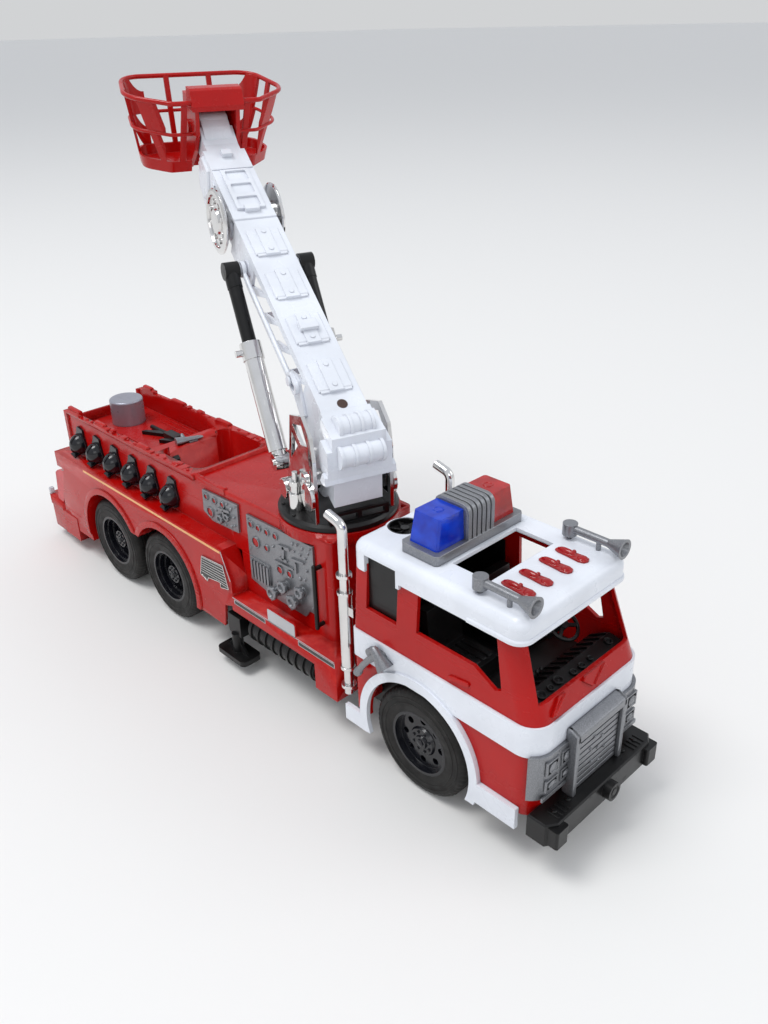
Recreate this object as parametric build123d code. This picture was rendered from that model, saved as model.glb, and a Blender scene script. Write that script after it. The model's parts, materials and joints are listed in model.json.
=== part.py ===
from build123d import *
import os
from math import atan2, cos, degrees, hypot, pi, radians, sin

# Toy fire engine with an articulated boom, in millimetres.
# The front faces -Y, the left side is +X and +Z is up. The origin lies on the floor,
# on the centre plane, midway between the front and the rearmost axle.

# Wheels and axles
TYRE_R = 35.4
TYRE_OUT_X = 48.4
TYRE_IN_X = 29.4
WHEEL_RIM_R = 21.0
FRONT_AXLE_Y = -172.5
MIDDLE_AXLE_Y = 92.5
REAR_AXLE_Y = 172.0
AXLE_R = 2.0
AXLE_HALF_LENGTH = 42.0
HUB_IN_X = 27.4
BEARING_GAP = 0.06
ARCH_R = 41.0
ARCH_LIP = 5.0

# Chassis frame
CHASSIS_HALF_W = 27.0
CHASSIS_LOW_Z = 24.0
CHASSIS_TOP_Z = 47.0
CHASSIS_FRONT_Y = -250.0
CHASSIS_REAR_Y = 248.0
CHASSIS_WALL = 2.4

# Rear body
WALL = 2.2
BODY_HALF_W = 49.3
TUB_HALF_W = 36.1
TUB_FRONT_Y = -88.0
TUB_REAR_Y = 248.0
TUB_TOP_Z = 130.0
TUB_WALL = 3.0
TUB_FRAME_OUT = 1.4
TUB_FRAME_W = 4.5
TUB_DROP = 3.0
SHELF_Z = 91.2
BODY_REAR_Y = 255.0
STEP_FRONT_Y = 261.0
STEP_REAR_Y = 288.0
STEP_LOW_Z = 9.5
STEP_TOP_Z = 40.0
STEP_SLAB_H = 8.5
BODY_FRONT_Y = -103.0
BOARD_LOW_Z = 46.0
BOARD_TOP_Z = 58.0
SKIRT_LOW_Z = 27.0
REAR_SKIRT_LOW_Z = 21.0
BED_Z = 112.0
DIVIDER_Z = 124.0
WELL_Z = 98.0
DECK_Z = 127.5
WELL_FRONT_Y = 60.0
WELL_REAR_Y = 112.0
BED_FRONT_Y = 130.0
DECK_REAR_Y = 56.0

# Cab
CAB_HALF_W = 47.4
CAB_FRONT_Y = -254.0
CAB_REAR_Y = -119.2
CAB_LOW_Z = 33.0
CAB_WAIST_Z = 93.0
CAB_TOP_Z = 139.0
CAB_TOP_HALF_W = 44.4
CAB_TOP_FRONT_Y = -237.0
CAB_CORNER_R = 12.0
CAB_WALL = 2.4
BELT_OUT = 1.4
BELT_LOW_Z = 74.0
BELT_TOP_Z = 93.0
FLARE_OUT_X = 50.4
FLARE_R = 47.0
ROOF_TOP_Z = 152.0
ROOF_HALF_W = 46.6
ROOF_FRONT_Y = -241.0
ROOF_WALL = 2.2
SUNROOF_HALF_W = 27.0
SUNROOF_FRONT_Y = -204.5
SUNROOF_REAR_Y = -178.5

# Turntable, measured from the turret centre on top of the disc
TURRET_Y = -56.0
TURRET_Z = 138.0
TURRET_YAW = -18.0
DISC_R = 38.9
DISC_H = 4.6
DISC_GAP = 0.4
COLLAR_R = 40.0
COLLAR_LOW_Z = 124.8
SPIGOT_R = 9.0
SPIGOT_DEPTH = 14.0
RUN_GAP = 0.06
CHEEK_IN_X = 24.2
CHEEK_OUT_X = 26.6
PLATE_IN_X = 16.7
PLATE_OUT_X = 19.0

# Boom, in its own frame: t runs out along the boom, n is square to it
LIFT_Y = -12.9
LIFT_Z = 23.3
LIFT_ANGLE = 33.0
LIFT_PIN_R = 3.0
BOOM_HALF_W = 15.1
BOOM_WALL = 2.2
BOOM_TOP_N = 38.6
BOOM_LOW_N = 12.0
COVER_HALF_W = 16.1
COVER_TOP_HALF_W = 17.3
SHOULDER_HALF_W = 21.1
LIP_HALF_W = 23.4
SEAM_T = 182.4
SEAM_GAP = 0.6
TONGUE_ROOT = 16.4
ELBOW_REACH = 17.6
ELBOW_T = SEAM_T + ELBOW_REACH
ELBOW_N = 23.4
ELBOW_PIN_R = 3.0
TONGUE_HALF_W = 12.5
TONGUE_R = 12.0
UPPER_LENGTH = 52.0
UPPER_END_T = ELBOW_T + UPPER_LENGTH
NECK_REACH = 28.0
NECK_T = UPPER_END_T + NECK_REACH
NECK_N = 38.0
NECK_HALF_W = 10.0
NECK_R = 8.5
ELBOW_DISC_R = 21.9
ELBOW_DISC_X = 19.0
PEG_BACK = 29.9
PEG_T = SEAM_T - PEG_BACK
PEG_N = 25.2
PEG_R = 3.5
PEG_END_X = 20.9

# Lift cylinders
BARREL_Y = 31.0
BARREL_Z = 19.0
CYLINDER_X = 26.2
BARREL_R = 6.4
BARREL_LENGTH = 80.0
GLAND_R = 7.2
GLAND_LENGTH = 11.5
KNUCKLE_R = 5.6
KNUCKLE_HALF_W = 5.0
KNUCKLE_PIN_R = 2.4
ROD_R = 4.7
ROD_LENGTH = 84.0
CAP_R = 5.8
CAP_HALF_W = 5.0
CAP_COLLAR_R = 5.1
CAP_COLLAR_LENGTH = 12.0

# Basket, measured from its own pin
BASKET_PITCH = 12.0
BASKET_LOW_Z = -31.7
TRAY_TOP_Z = -23.4
MID_RAIL_Z = -3.2
RIM_Z = 19.0
RIM_R = 1.6
BASKET_WALL = 1.9
BASKET_PIN_R = 2.0
NICHE_HALF_W = 13.2
NICHE_WALL = 2.8

# Outriggers
OUTRIGGER_Y = 5.0
OUTRIGGER_IN_X = 6.0
OUTRIGGER_OUT_X = 47.0
OUTRIGGER_HALF_W = 6.0
OUTRIGGER_LOW_Z = 32.0
OUTRIGGER_TOP_Z = 41.0
SLEEVE_GAP = 0.3


def block(x0, x1, y0, y1, z0, z1):
    """A box between two corners."""
    centre = Pos((x0 + x1) / 2, (y0 + y1) / 2, (z0 + z1) / 2)
    return centre * Box(x1 - x0, y1 - y0, z1 - z0)


def side_prism(points, x0, x1):
    """A side outline of (y, z) points, extruded across from x0 to x1."""
    face = make_face(Polyline(*points, close=True))
    return Pos(x0, 0, 0) * extrude(Plane.YZ * face, amount=x1 - x0)


def plan_prism(points, z0, z1):
    """A plan outline of (x, y) points, extruded up from z0 to z1."""
    face = make_face(Polyline(*points, close=True))
    return Pos(0, 0, z0) * extrude(face, amount=z1 - z0)


def front_prism(points, y0, y1):
    """A front outline of (x, z) points, extruded back from y0 to y1."""
    face = make_face(Polyline(*points, close=True))
    return Pos(0, y1, 0) * extrude(Plane.XZ * face, amount=y1 - y0)


def cross_cylinder(radius, x0, x1, y, z):
    """A cylinder along X from x0 to x1."""
    return Pos((x0 + x1) / 2, y, z) * Rot(0, 90, 0) * Cylinder(radius, x1 - x0)


def upright(radius, x, y, z0, z1):
    """A cylinder along Z from z0 to z1."""
    return Pos(x, y, (z0 + z1) / 2) * Cylinder(radius, z1 - z0)


def lengthwise(radius, x, y0, y1, z):
    """A cylinder along Y from y0 to y1."""
    return Pos(x, (y0 + y1) / 2, z) * Rot(90, 0, 0) * Cylinder(radius, y1 - y0)


def turned(points, x_sign=1):
    """A profile of (x, radius) points, turned about the X axis."""
    face = make_face(Polyline(*[(x_sign * x, r) for x, r in points], close=True))
    return revolve(face, Axis.X)


def both(shape):
    """A right-hand shape with its left-hand mirror image."""
    return shape + mirror(shape, about=Plane.YZ)


def left(shape):
    """The left-hand mirror image of a right-hand shape."""
    return mirror(shape, about=Plane.YZ)


# Wheels

TYRE_PROFILE = [
    (-30.4, WHEEL_RIM_R), (-TYRE_IN_X, 23.0), (-TYRE_IN_X, 31.2), (-30.6, 34.0), (-33.0, TYRE_R),
    (-44.8, TYRE_R), (-47.2, 34.0), (-TYRE_OUT_X, 31.2), (-TYRE_OUT_X, 24.0), (-47.6, WHEEL_RIM_R),
]
FRONT_RIM_PROFILE = [
    (-47.6, WHEEL_RIM_R), (-47.6, 19.2), (-43.5, 18.2), (-43.5, 9.5), (-45.0, 8.5), (-45.0, 4.5),
    (-46.2, 4.0), (-46.2, 0.0), (-AXLE_HALF_LENGTH, 0.0), (-AXLE_HALF_LENGTH, AXLE_R),
    (-HUB_IN_X, AXLE_R), (-HUB_IN_X, 5.5), (-41.3, 6.5), (-41.3, 18.4), (-30.4, 18.4), (-30.4, WHEEL_RIM_R),
]
REAR_RIM_PROFILE = [
    (-47.6, WHEEL_RIM_R), (-47.6, 19.2), (-44.5, 18.6), (-44.5, 17.6), (-40.5, 17.0), (-40.5, 15.6),
    (-36.5, 15.0), (-36.5, 8.0), (-43.5, 7.2), (-43.5, 0.0), (-AXLE_HALF_LENGTH, 0.0),
    (-AXLE_HALF_LENGTH, AXLE_R), (-HUB_IN_X, AXLE_R), (-HUB_IN_X, 5.5), (-34.0, 6.0),
    (-34.0, 18.0), (-30.4, 18.4), (-30.4, WHEEL_RIM_R),
]
RIM_HOLES = 8
RIM_HOLE_R = 2.2
RIM_HOLE_CIRCLE_R = 14.0


def tyre(axle_y):
    return Pos(0, axle_y, TYRE_R) * turned(TYRE_PROFILE)


def front_rim():
    rim = turned(FRONT_RIM_PROFILE)
    for i in range(RIM_HOLES):
        angle = 2 * pi * i / RIM_HOLES
        y = RIM_HOLE_CIRCLE_R * cos(angle)
        z = RIM_HOLE_CIRCLE_R * sin(angle)
        rim -= cross_cylinder(RIM_HOLE_R, -45.0, -40.0, y, z)
    return Pos(0, FRONT_AXLE_Y, TYRE_R) * rim


def rear_rim(axle_y):
    return Pos(0, axle_y, TYRE_R) * turned(REAR_RIM_PROFILE)


def axle_rod(axle_y):
    return cross_cylinder(AXLE_R, -AXLE_HALF_LENGTH, AXLE_HALF_LENGTH, axle_y, TYRE_R)


# Chassis

BEARING_HALF_Y = 6.0


def outrigger_space(grow):
    """The room of both outrigger beams, grown by a clearance."""
    low, top = OUTRIGGER_LOW_Z - grow, OUTRIGGER_TOP_Z + grow
    half = OUTRIGGER_HALF_W + grow
    return block(-60.0, 60.0, OUTRIGGER_Y - half, OUTRIGGER_Y + half, low, top)


def chassis():
    outer = block(-CHASSIS_HALF_W, CHASSIS_HALF_W, CHASSIS_FRONT_Y, CHASSIS_REAR_Y,
                  CHASSIS_LOW_Z, CHASSIS_TOP_Z)
    inner_x = CHASSIS_HALF_W - CHASSIS_WALL
    frame = outer - block(-inner_x, inner_x, CHASSIS_FRONT_Y + CHASSIS_WALL,
                          CHASSIS_REAR_Y - CHASSIS_WALL, 0, CHASSIS_TOP_Z - CHASSIS_WALL)
    for axle_y in (FRONT_AXLE_Y, MIDDLE_AXLE_Y, REAR_AXLE_Y):
        frame += block(-inner_x, inner_x, axle_y - BEARING_HALF_Y, axle_y + BEARING_HALF_Y,
                       28.0, CHASSIS_TOP_Z - 1.0)
    sleeve_half = OUTRIGGER_HALF_W + SLEEVE_GAP + 1.8
    frame += block(-42.0, 42.0, OUTRIGGER_Y - sleeve_half, OUTRIGGER_Y + sleeve_half,
                   OUTRIGGER_LOW_Z - SLEEVE_GAP - 1.8, OUTRIGGER_TOP_Z + SLEEVE_GAP + 1.8)
    frame -= outrigger_space(SLEEVE_GAP)
    for axle_y in (FRONT_AXLE_Y, MIDDLE_AXLE_Y, REAR_AXLE_Y):
        frame -= cross_cylinder(AXLE_R + BEARING_GAP, -60.0, 60.0, axle_y, TYRE_R)
    return frame


def outrigger_right():
    y0, y1 = OUTRIGGER_Y - OUTRIGGER_HALF_W, OUTRIGGER_Y + OUTRIGGER_HALF_W
    beam = block(-OUTRIGGER_OUT_X, -OUTRIGGER_IN_X, y0, y1, OUTRIGGER_LOW_Z, OUTRIGGER_TOP_Z)
    head = block(-OUTRIGGER_OUT_X - 3.0, -43.0, y0 - 1.0, y1 + 1.0, 26.0, OUTRIGGER_TOP_Z + 1.0)
    leg = upright(4.0, -48.5, OUTRIGGER_Y, 12.0, 27.0)
    foot = block(-57.0, -40.0, OUTRIGGER_Y - 16.0, OUTRIGGER_Y + 16.0, 8.0, 12.0)
    foot = fillet(foot.edges().filter_by(Axis.Z), 4.0)
    rib = side_prism([(OUTRIGGER_Y - 12.0, 12.0), (OUTRIGGER_Y + 12.0, 12.0),
                      (OUTRIGGER_Y + 4.0, 20.0), (OUTRIGGER_Y - 4.0, 20.0)], -49.5, -47.5)
    return beam + head + leg + foot + rib


TANK_Y = (-78.0, -8.0)
TANK_X = -38.2
TANK_Z = 34.5
TANK_R = 9.5
TANK_RIBS = 9
TANK_RIB_R = 10.5


def tank_right():
    """Ribbed tank that hangs under the running board."""
    y0, y1 = TANK_Y
    body = lengthwise(TANK_R, TANK_X, y0, y1, TANK_Z)
    body += block(TANK_X - 6.0, TANK_X + 6.0, y0 + 4.0, y1 - 4.0, TANK_Z, BOARD_TOP_Z - WALL)
    pitch = (y1 - y0 - 6.0) / (TANK_RIBS - 1)
    for i in range(TANK_RIBS):
        y = y0 + 3.0 + i * pitch
        body += lengthwise(TANK_RIB_R, TANK_X, y - 1.2, y + 1.2, TANK_Z)
    return body


# Rear body

FENDER_OUTLINE = [
    (18.0, SKIRT_LOW_Z), (15.0, BOARD_LOW_Z), (4.0, 50.0), (4.0, 70.0), (13.0, SHELF_Z),
    (BODY_REAR_Y, SHELF_Z), (BODY_REAR_Y, REAR_SKIRT_LOW_Z), (REAR_AXLE_Y + 36.0, REAR_SKIRT_LOW_Z),
    (REAR_AXLE_Y + 36.0, SKIRT_LOW_Z),
]
ARCH_CUSP_Z = 58.0
RIBS = [
    # y, bottom z
    (-60.0, BOARD_TOP_Z - WALL), (24.0, CHASSIS_TOP_Z), (232.0, CHASSIS_TOP_Z),
]
RIM_BLOCKS = [
    # side, y from, y to, height above the wall top
    (-1, 222.0, 240.0, 2.4), (-1, 182.0, 196.0, 1.8), (-1, 168.0, 172.0, 1.4),
    (-1, 118.0, 132.0, 1.8), (-1, 78.0, 84.0, 1.4), (-1, 20.0, 28.0, 1.4),
    (1, 226.0, 238.0, 2.4), (1, 176.0, 192.0, 1.8), (1, 150.0, 156.0, 1.4),
    (1, 112.0, 128.0, 1.8), (1, 70.0, 76.0, 1.4), (1, 24.0, 32.0, 1.4),
]


def wheel_tunnels(extra):
    """The room of the two rear wheel pairs, across the whole width."""
    room = cross_cylinder(ARCH_R + extra, -60.0, 60.0, MIDDLE_AXLE_Y, TYRE_R)
    room += cross_cylinder(ARCH_R + extra, -60.0, 60.0, REAR_AXLE_Y, TYRE_R)
    return room + block(-60.0, 60.0, MIDDLE_AXLE_Y, REAR_AXLE_Y, 0.0, ARCH_CUSP_Z + extra)


ARCH_LIP_OUT = 1.2
LAMP_RECESS = [(243.5, 78.0), (256.0, 78.0), (256.0, 46.0)]
LAMP_RECESS_IN_X = 42.0


def arch_lips():
    """Raised lips round the rear wheel arches, on the right-hand side."""
    x0, x1 = -BODY_HALF_W - ARCH_LIP_OUT, -BODY_HALF_W + 0.5
    lips = cross_cylinder(ARCH_R + ARCH_LIP, x0, x1, MIDDLE_AXLE_Y, TYRE_R)
    lips += cross_cylinder(ARCH_R + ARCH_LIP, x0, x1, REAR_AXLE_Y, TYRE_R)
    return lips - block(-60.0, 60.0, 0.0, 260.0, -20.0, SKIRT_LOW_Z)


def wall_frame():
    """Raised frame round the right-hand wall panel that the helmets hang on."""
    x0, x1 = -TUB_HALF_W - TUB_FRAME_OUT, -TUB_HALF_W + 1.0
    rail = block(x0, x1, WELL_FRONT_Y - 4.0, TUB_REAR_Y, TUB_TOP_Z - TUB_FRAME_W, TUB_TOP_Z)
    post = block(x0, x1, TUB_REAR_Y - TUB_FRAME_W, TUB_REAR_Y, SHELF_Z - 1.0, TUB_TOP_Z)
    return rail + post


def rear_step():
    """Deep rear bumper with its step plate and the two feet of the fenders."""
    front_y = BODY_REAR_Y - 0.5
    slab_z = STEP_TOP_Z - STEP_SLAB_H
    slab = block(-BODY_HALF_W, BODY_HALF_W, STEP_FRONT_Y, STEP_REAR_Y, slab_z, STEP_TOP_Z)
    slab = fillet(slab.edges().filter_by(Axis.Z).group_by(Axis.Y)[-1], 5.0)
    side_x = BODY_HALF_W - 0.8
    box = block(-side_x, side_x, STEP_FRONT_Y, STEP_REAR_Y - 0.8, STEP_LOW_Z, slab_z + 0.5)
    box = fillet(box.edges().filter_by(Axis.Z).group_by(Axis.Y)[-1], 4.4)
    neck = block(-LAMP_RECESS_IN_X, LAMP_RECESS_IN_X, front_y, STEP_FRONT_Y + 1.0, 18.0, STEP_TOP_Z)
    step = slab + box + neck
    step -= block(3.0 - side_x, side_x - 3.0, STEP_FRONT_Y + WALL, STEP_REAR_Y - 3.2, 0.0,
                  slab_z - 0.5)
    for side in (-1, 1):
        x0, x1 = sorted((side * (BODY_HALF_W + 0.6), side * LAMP_RECESS_IN_X))
        step += block(x0, x1, 236.0, STEP_FRONT_Y + 1.0, 10.5, slab_z + 1.0)
    return step


def rear_body():
    fender = side_prism(FENDER_OUTLINE, -BODY_HALF_W, BODY_HALF_W)
    board = block(-BODY_HALF_W, BODY_HALF_W, BODY_FRONT_Y, 6.0, BOARD_LOW_Z, BOARD_TOP_Z)
    front_box = block(-BODY_HALF_W, BODY_HALF_W, BODY_FRONT_Y, -82.0, SKIRT_LOW_Z, BOARD_TOP_Z)
    tub = block(-TUB_HALF_W, TUB_HALF_W, TUB_FRONT_Y, TUB_REAR_Y, BOARD_TOP_Z - WALL, TUB_TOP_Z)
    tub = fillet(tub.edges().filter_by(Axis.Z).group_by(Axis.Y)[0], 5.0)
    body = fender + board + front_box + tub + both(arch_lips()) + both(wall_frame())

    cavity_x = BODY_HALF_W - WALL
    low_cavity = block(-cavity_x, cavity_x, 6.2, BODY_REAR_Y - WALL, 0.0, SHELF_Z - WALL)
    low_cavity -= wheel_tunnels(WALL)
    low_cavity -= block(-60.0, 60.0, REAR_AXLE_Y + 50.0, BODY_REAR_Y, 0.0, STEP_TOP_Z)
    board_cavity = block(-cavity_x, cavity_x, BODY_FRONT_Y + WALL, -84.2, 0.0, BOARD_TOP_Z - WALL)
    board_cavity += block(-cavity_x, cavity_x, -82.0, 4.0, 0.0, BOARD_TOP_Z - WALL)
    inner_x = TUB_HALF_W - TUB_WALL
    tub_cavity = block(-inner_x, inner_x, TUB_FRONT_Y + WALL, DECK_REAR_Y, 50.0, DECK_Z - WALL)
    tub_cavity += block(-inner_x, inner_x, DECK_REAR_Y - 1.0, WELL_REAR_Y + WALL, 50.0, WELL_Z - WALL)
    tub_cavity += block(-inner_x, inner_x, WELL_REAR_Y + WALL, TUB_REAR_Y - WALL, 50.0, BED_Z - WALL)
    tub_cavity -= wheel_tunnels(WALL)
    body -= low_cavity + board_cavity + tub_cavity
    body -= wheel_tunnels(0.0)
    recess = side_prism(LAMP_RECESS, -BODY_HALF_W - 2.0, -LAMP_RECESS_IN_X)
    body -= both(recess)
    body += both(side_prism(LAMP_RECESS, -LAMP_RECESS_IN_X, -LAMP_RECESS_IN_X + WALL))
    body += rear_step()

    top = TUB_TOP_Z + 1.0
    bed = block(-inner_x, inner_x, BED_FRONT_Y, TUB_REAR_Y - TUB_WALL, BED_Z, top)
    tail_gap = block(-31.0, 31.0, TUB_REAR_Y - 5.0, TUB_REAR_Y + 2.0, 120.0, top)
    divider = block(-inner_x, inner_x, WELL_REAR_Y, BED_FRONT_Y, DIVIDER_Z, top)
    well = block(-30.0, 30.0, WELL_FRONT_Y, WELL_REAR_Y, WELL_Z, top)
    well = fillet(well.edges().filter_by(Axis.Z), 9.0)
    deck = block(-inner_x, inner_x, TUB_FRONT_Y + 3.0, WELL_FRONT_Y - 4.0, DECK_Z, top)
    body -= bed + tail_gap + divider + well + deck
    for side, y0, y1, height in RIM_BLOCKS:
        x0 = side * (TUB_HALF_W + 0.6)
        x1 = side * (TUB_HALF_W - TUB_WALL)
        lump = block(min(x0, x1), max(x0, x1), y0, y1, TUB_TOP_Z - 4.0, TUB_TOP_Z + height)
        body += chamfer(lump.edges().group_by(Axis.Z)[-1], 0.9)
    fall = side_prism([(WELL_FRONT_Y, top + 3.0), (TUB_REAR_Y + 2.0, top + 3.0),
                       (TUB_REAR_Y + 2.0, TUB_TOP_Z - TUB_DROP), (WELL_FRONT_Y, TUB_TOP_Z)], -60.0, 60.0)
    for side, y0, y1, height in RIM_BLOCKS:
        fall -= block(-60.0, 60.0, y0, y1, TUB_TOP_Z - 8.0, TUB_TOP_Z + 8.0)
    body -= fall

    collar = upright(COLLAR_R, 0, TURRET_Y, COLLAR_LOW_Z, TURRET_Z - DISC_H - DISC_GAP)
    socket = upright(SPIGOT_R + 4.0, 0, TURRET_Y, TURRET_Z - DISC_H - SPIGOT_DEPTH - 3.0, DECK_Z)
    body += collar + socket
    body -= upright(SPIGOT_R + RUN_GAP, 0, TURRET_Y, TURRET_Z - DISC_H - SPIGOT_DEPTH - 0.5, 160.0)
    for y, z in RIBS:
        body += block(-inner_x - 0.5, inner_x + 0.5, y - 1.0, y + 1.0, z, SHELF_Z)
    body -= block(-CHASSIS_HALF_W - 0.3, CHASSIS_HALF_W + 0.3, BODY_FRONT_Y - 1.0, BODY_REAR_Y - 4.0,
                  0.0, CHASSIS_TOP_Z)
    return body


LAMP_COLUMN = [(259.4, STEP_TOP_Z), (268.5, STEP_TOP_Z), (263.5, 68.5), (258.5, 72.0), (245.6, 75.0)]


def tail_lamp_right():
    """Tall lamp that leans against the slanted corner above the rear step."""
    lamp = side_prism(LAMP_COLUMN, -BODY_HALF_W + 0.8, -LAMP_RECESS_IN_X)
    return fillet(lamp.edges().filter_by(Axis.X).group_by(Axis.Y)[-1], 2.0)


LOUVRE_OUTLINE = [
    (40.4, 61.7), (36.4, 78.0), (11.2, 80.4), (6.4, 63.1), (15.9, 60.8), (16.2, 64.9), (30.6, 62.6),
    (32.5, 59.0),
]
LOUVRE_BARS = 9
LOUVRE_PITCH = 2.3
LOUVRE_LOW_Z = 60.4


def side_louvre_right():
    """Slatted plate on the fender, ahead of the middle wheel."""
    x = -BODY_HALF_W
    plate = side_prism(LOUVRE_OUTLINE, x - 0.5, x)
    slats = None
    for i in range(LOUVRE_BARS):
        z = LOUVRE_LOW_Z + LOUVRE_PITCH * i
        slat = side_prism([(0.0, z + 2.2), (50.0, z - 0.6), (50.0, z + 0.7), (0.0, z + 3.5)], x - 1.3, x)
        slats = slat if slats is None else slats + slat
    return plate + (slats & side_prism(LOUVRE_OUTLINE, x - 2.0, x))


PANEL_T = 1.6


def gauge(radius, y, z):
    """A ring round a gauge hole of the right-hand panel."""
    x = -TUB_HALF_W - PANEL_T
    return cross_cylinder(radius + 0.8, x - 1.0, x + 0.2, y, z)


SMALL_PANEL = [(45.5, 122.9), (4.3, 124.9), (5.6, 103.1), (36.3, 101.2), (46.6, 105.8)]
LARGE_PANEL = [(-71.0, 70.0), (-71.0, 123.5), (-4.0, 121.5), (-4.0, 66.0), (-58.0, 66.0)]
GAUGES = [
    # radius, y, z
    (1.9, 40.9, 118.8), (1.9, 31.1, 119.0), (1.9, 21.6, 119.2), (3.2, 37.6, 107.8),
    (1.9, -10.0, 116.0), (1.9, -18.0, 116.0), (1.9, -27.0, 116.5), (1.9, -36.0, 117.0),
    (3.2, -12.0, 104.0), (1.9, -24.0, 104.0), (2.5, -38.4, 92.8), (2.2, -48.4, 93.8),
]
OUTLETS = [
    # radius, y, z, length
    (4.6, -33.1, 74.5, 6.0), (4.2, -43.4, 83.1, 5.0), (4.6, -54.2, 76.8, 6.0), (3.8, -60.6, 86.2, 4.6),
]


def pump_panels_right():
    x0, x1 = -TUB_HALF_W - PANEL_T, -TUB_HALF_W
    panels = side_prism(SMALL_PANEL, x0, x1) + side_prism(LARGE_PANEL, x0, x1)
    for radius, y, z in GAUGES:
        panels += gauge(radius, y, z)
        panels -= cross_cylinder(radius, x0 - 2.0, x1, y, z)
    for radius, y, z, length in OUTLETS:
        panels += cross_cylinder(radius, x0 - length, x0, y, z)
        panels += cross_cylinder(radius + 1.0, x0 - length, x0 - length + 2.0, y, z)
    return panels


GRAB_Y = -78.0
GRAB_X = -41.5
GRAB_Z = (68.0, 113.0)


def grab_bar_right():
    z0, z1 = GRAB_Z
    bar = upright(1.5, GRAB_X, GRAB_Y, z0, z1)
    for z in (z0 + 1.5, z1 - 1.5):
        bar += cross_cylinder(1.5, GRAB_X, -TUB_HALF_W, GRAB_Y, z)
        bar += Pos(GRAB_X, GRAB_Y, z0 if z < z0 + 5 else z1) * Sphere(1.5)
    return bar


HELMET_STATIONS = (229.0, 201.5, 174.0, 146.5, 119.0, 91.5)
HELMET_Z = 103.2
HELMET_DOME_R = 8.4
HELMET_LEAN = 11.0


def helmet():
    """Fire helmet hung on the wall by its crown, its long tail brim up.

    Local frame: +Z is out of the wall, +Y is towards the tail of the brim.
    """
    crown = scale(Sphere(HELMET_DOME_R), (1.0, 1.08, 1.3))
    crown -= Pos(0, 0, -20.0) * Box(60.0, 60.0, 40.0)
    brim = make_face(Polyline((-8.0, -7.0), (0.0, -11.4), (8.0, -7.0), (9.2, 1.0), (5.4, 9.0), (4.4, 14.6),
                              (-4.4, 14.6), (-5.4, 9.0), (-9.2, 1.0), close=True))
    brim = extrude(fillet(brim.vertices(), 1.8), amount=1.8)
    crest = Pos(0, 0.0, 5.4) * Box(1.8, 16.0, 10.8)
    crest &= scale(Sphere(HELMET_DOME_R + 1.0), (1.0, 1.06, 1.24))
    shield = Pos(0, -8.4, 5.4) * Rot(20, 0, 0) * Box(6.6, 1.6, 8.4)
    return crown + brim + crest + shield


def helmets_right():
    row = None
    for y in HELMET_STATIONS:
        hung = Plane((-TUB_HALF_W, y - 2.4, HELMET_Z), x_dir=(0, -1, 0), z_dir=(-1, 0, 0))
        one = hung * Rot(0, 0, -HELMET_LEAN) * helmet()
        row = one if row is None else row + one
    return row


DRUM_AT = (6.0, 220.0)
DRUM_R = 13.8
DRUM_H = 21.0


def bed_drum():
    x, y = DRUM_AT
    drum = upright(DRUM_R, x, y, BED_Z, BED_Z + DRUM_H)
    return fillet(drum.edges().group_by(Axis.Z)[-1], 1.6)


def bed_tool():
    """Black rescue tool that lies on the bed floor."""
    z = BED_Z + 2.0
    shaft = lengthwise(1.8, 0.0, 136.0, 190.0, z)
    grip = block(-4.0, 4.0, 150.0, 166.0, BED_Z, BED_Z + 5.0)
    arms = plan_prism([(-12.0, 186.0), (-9.0, 186.0), (2.0, 172.0), (2.0, 166.0), (-2.0, 166.0)],
                      BED_Z, BED_Z + 3.0)
    claw = plan_prism([(-12.0, 160.0), (-9.0, 160.0), (2.0, 148.0), (2.0, 142.0), (-2.0, 142.0)],
                      BED_Z, BED_Z + 3.0)
    return Pos(10.0, 0, 0) * (shaft + grip + arms + claw)


def bed_nozzle():
    """Silver nozzle that lies on the divider between the bed and the well."""
    z = DIVIDER_Z + 3.4
    cone = Pos(-8.0, 121.0, z) * Rot(0, 90, 0) * Cone(2.0, 3.4, 12.0)
    body = Pos(3.0, 121.0, z) * Rot(0, 90, 0) * Cylinder(2.6, 12.0)
    foot = block(-6.0, 6.0, 119.0, 123.0, DIVIDER_Z, z)
    handle = upright(1.4, 4.0, 121.0, z, z + 5.0)
    return cone + body + foot + handle


# Cab

SIDE_WINDOW = [
    (-169.7, 136.5), (-224.0, 136.5), (-230.0, 106.5), (-226.0, 104.5), (-211.0, 112.0),
    (-169.7, 112.0),
]
REAR_WINDOW = [(-130.0, 145.5), (-154.5, 145.5), (-154.5, 110.0), (-130.0, 110.0)]
WINDSCREEN_HALF_W = 40.0
WINDSCREEN_Z = (103.5, 136.5)


def cab_section(half_w, front_y, z, front_r, rear_r=3.0, rear_y=CAB_REAR_Y):
    """Plan outline of the cab at height z, with its rounded front corners."""
    plan = Pos(0, (front_y + rear_y) / 2) * Rectangle(2 * half_w, rear_y - front_y)
    plan = fillet(plan.vertices().group_by(Axis.Y)[0], front_r)
    plan = fillet(plan.vertices().group_by(Axis.Y)[-1], rear_r)
    return Pos(0, 0, z) * plan


def cab_solid(inset):
    """The cab as a filled form, drawn in by an inset."""
    corner_r = CAB_CORNER_R - inset
    rear_r = 3.0 - 0.8 * inset
    half_w, front_y, rear_y = CAB_HALF_W - inset, CAB_FRONT_Y + inset, CAB_REAR_Y - inset
    low = extrude(cab_section(half_w, front_y, CAB_LOW_Z, corner_r, rear_r, rear_y),
                  amount=CAB_WAIST_Z - CAB_LOW_Z)
    high = loft([cab_section(half_w, front_y, CAB_WAIST_Z, corner_r, rear_r, rear_y),
                 cab_section(CAB_TOP_HALF_W - inset, CAB_TOP_FRONT_Y + inset, CAB_TOP_Z, corner_r,
                             rear_r, rear_y)])
    return low + high


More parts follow.
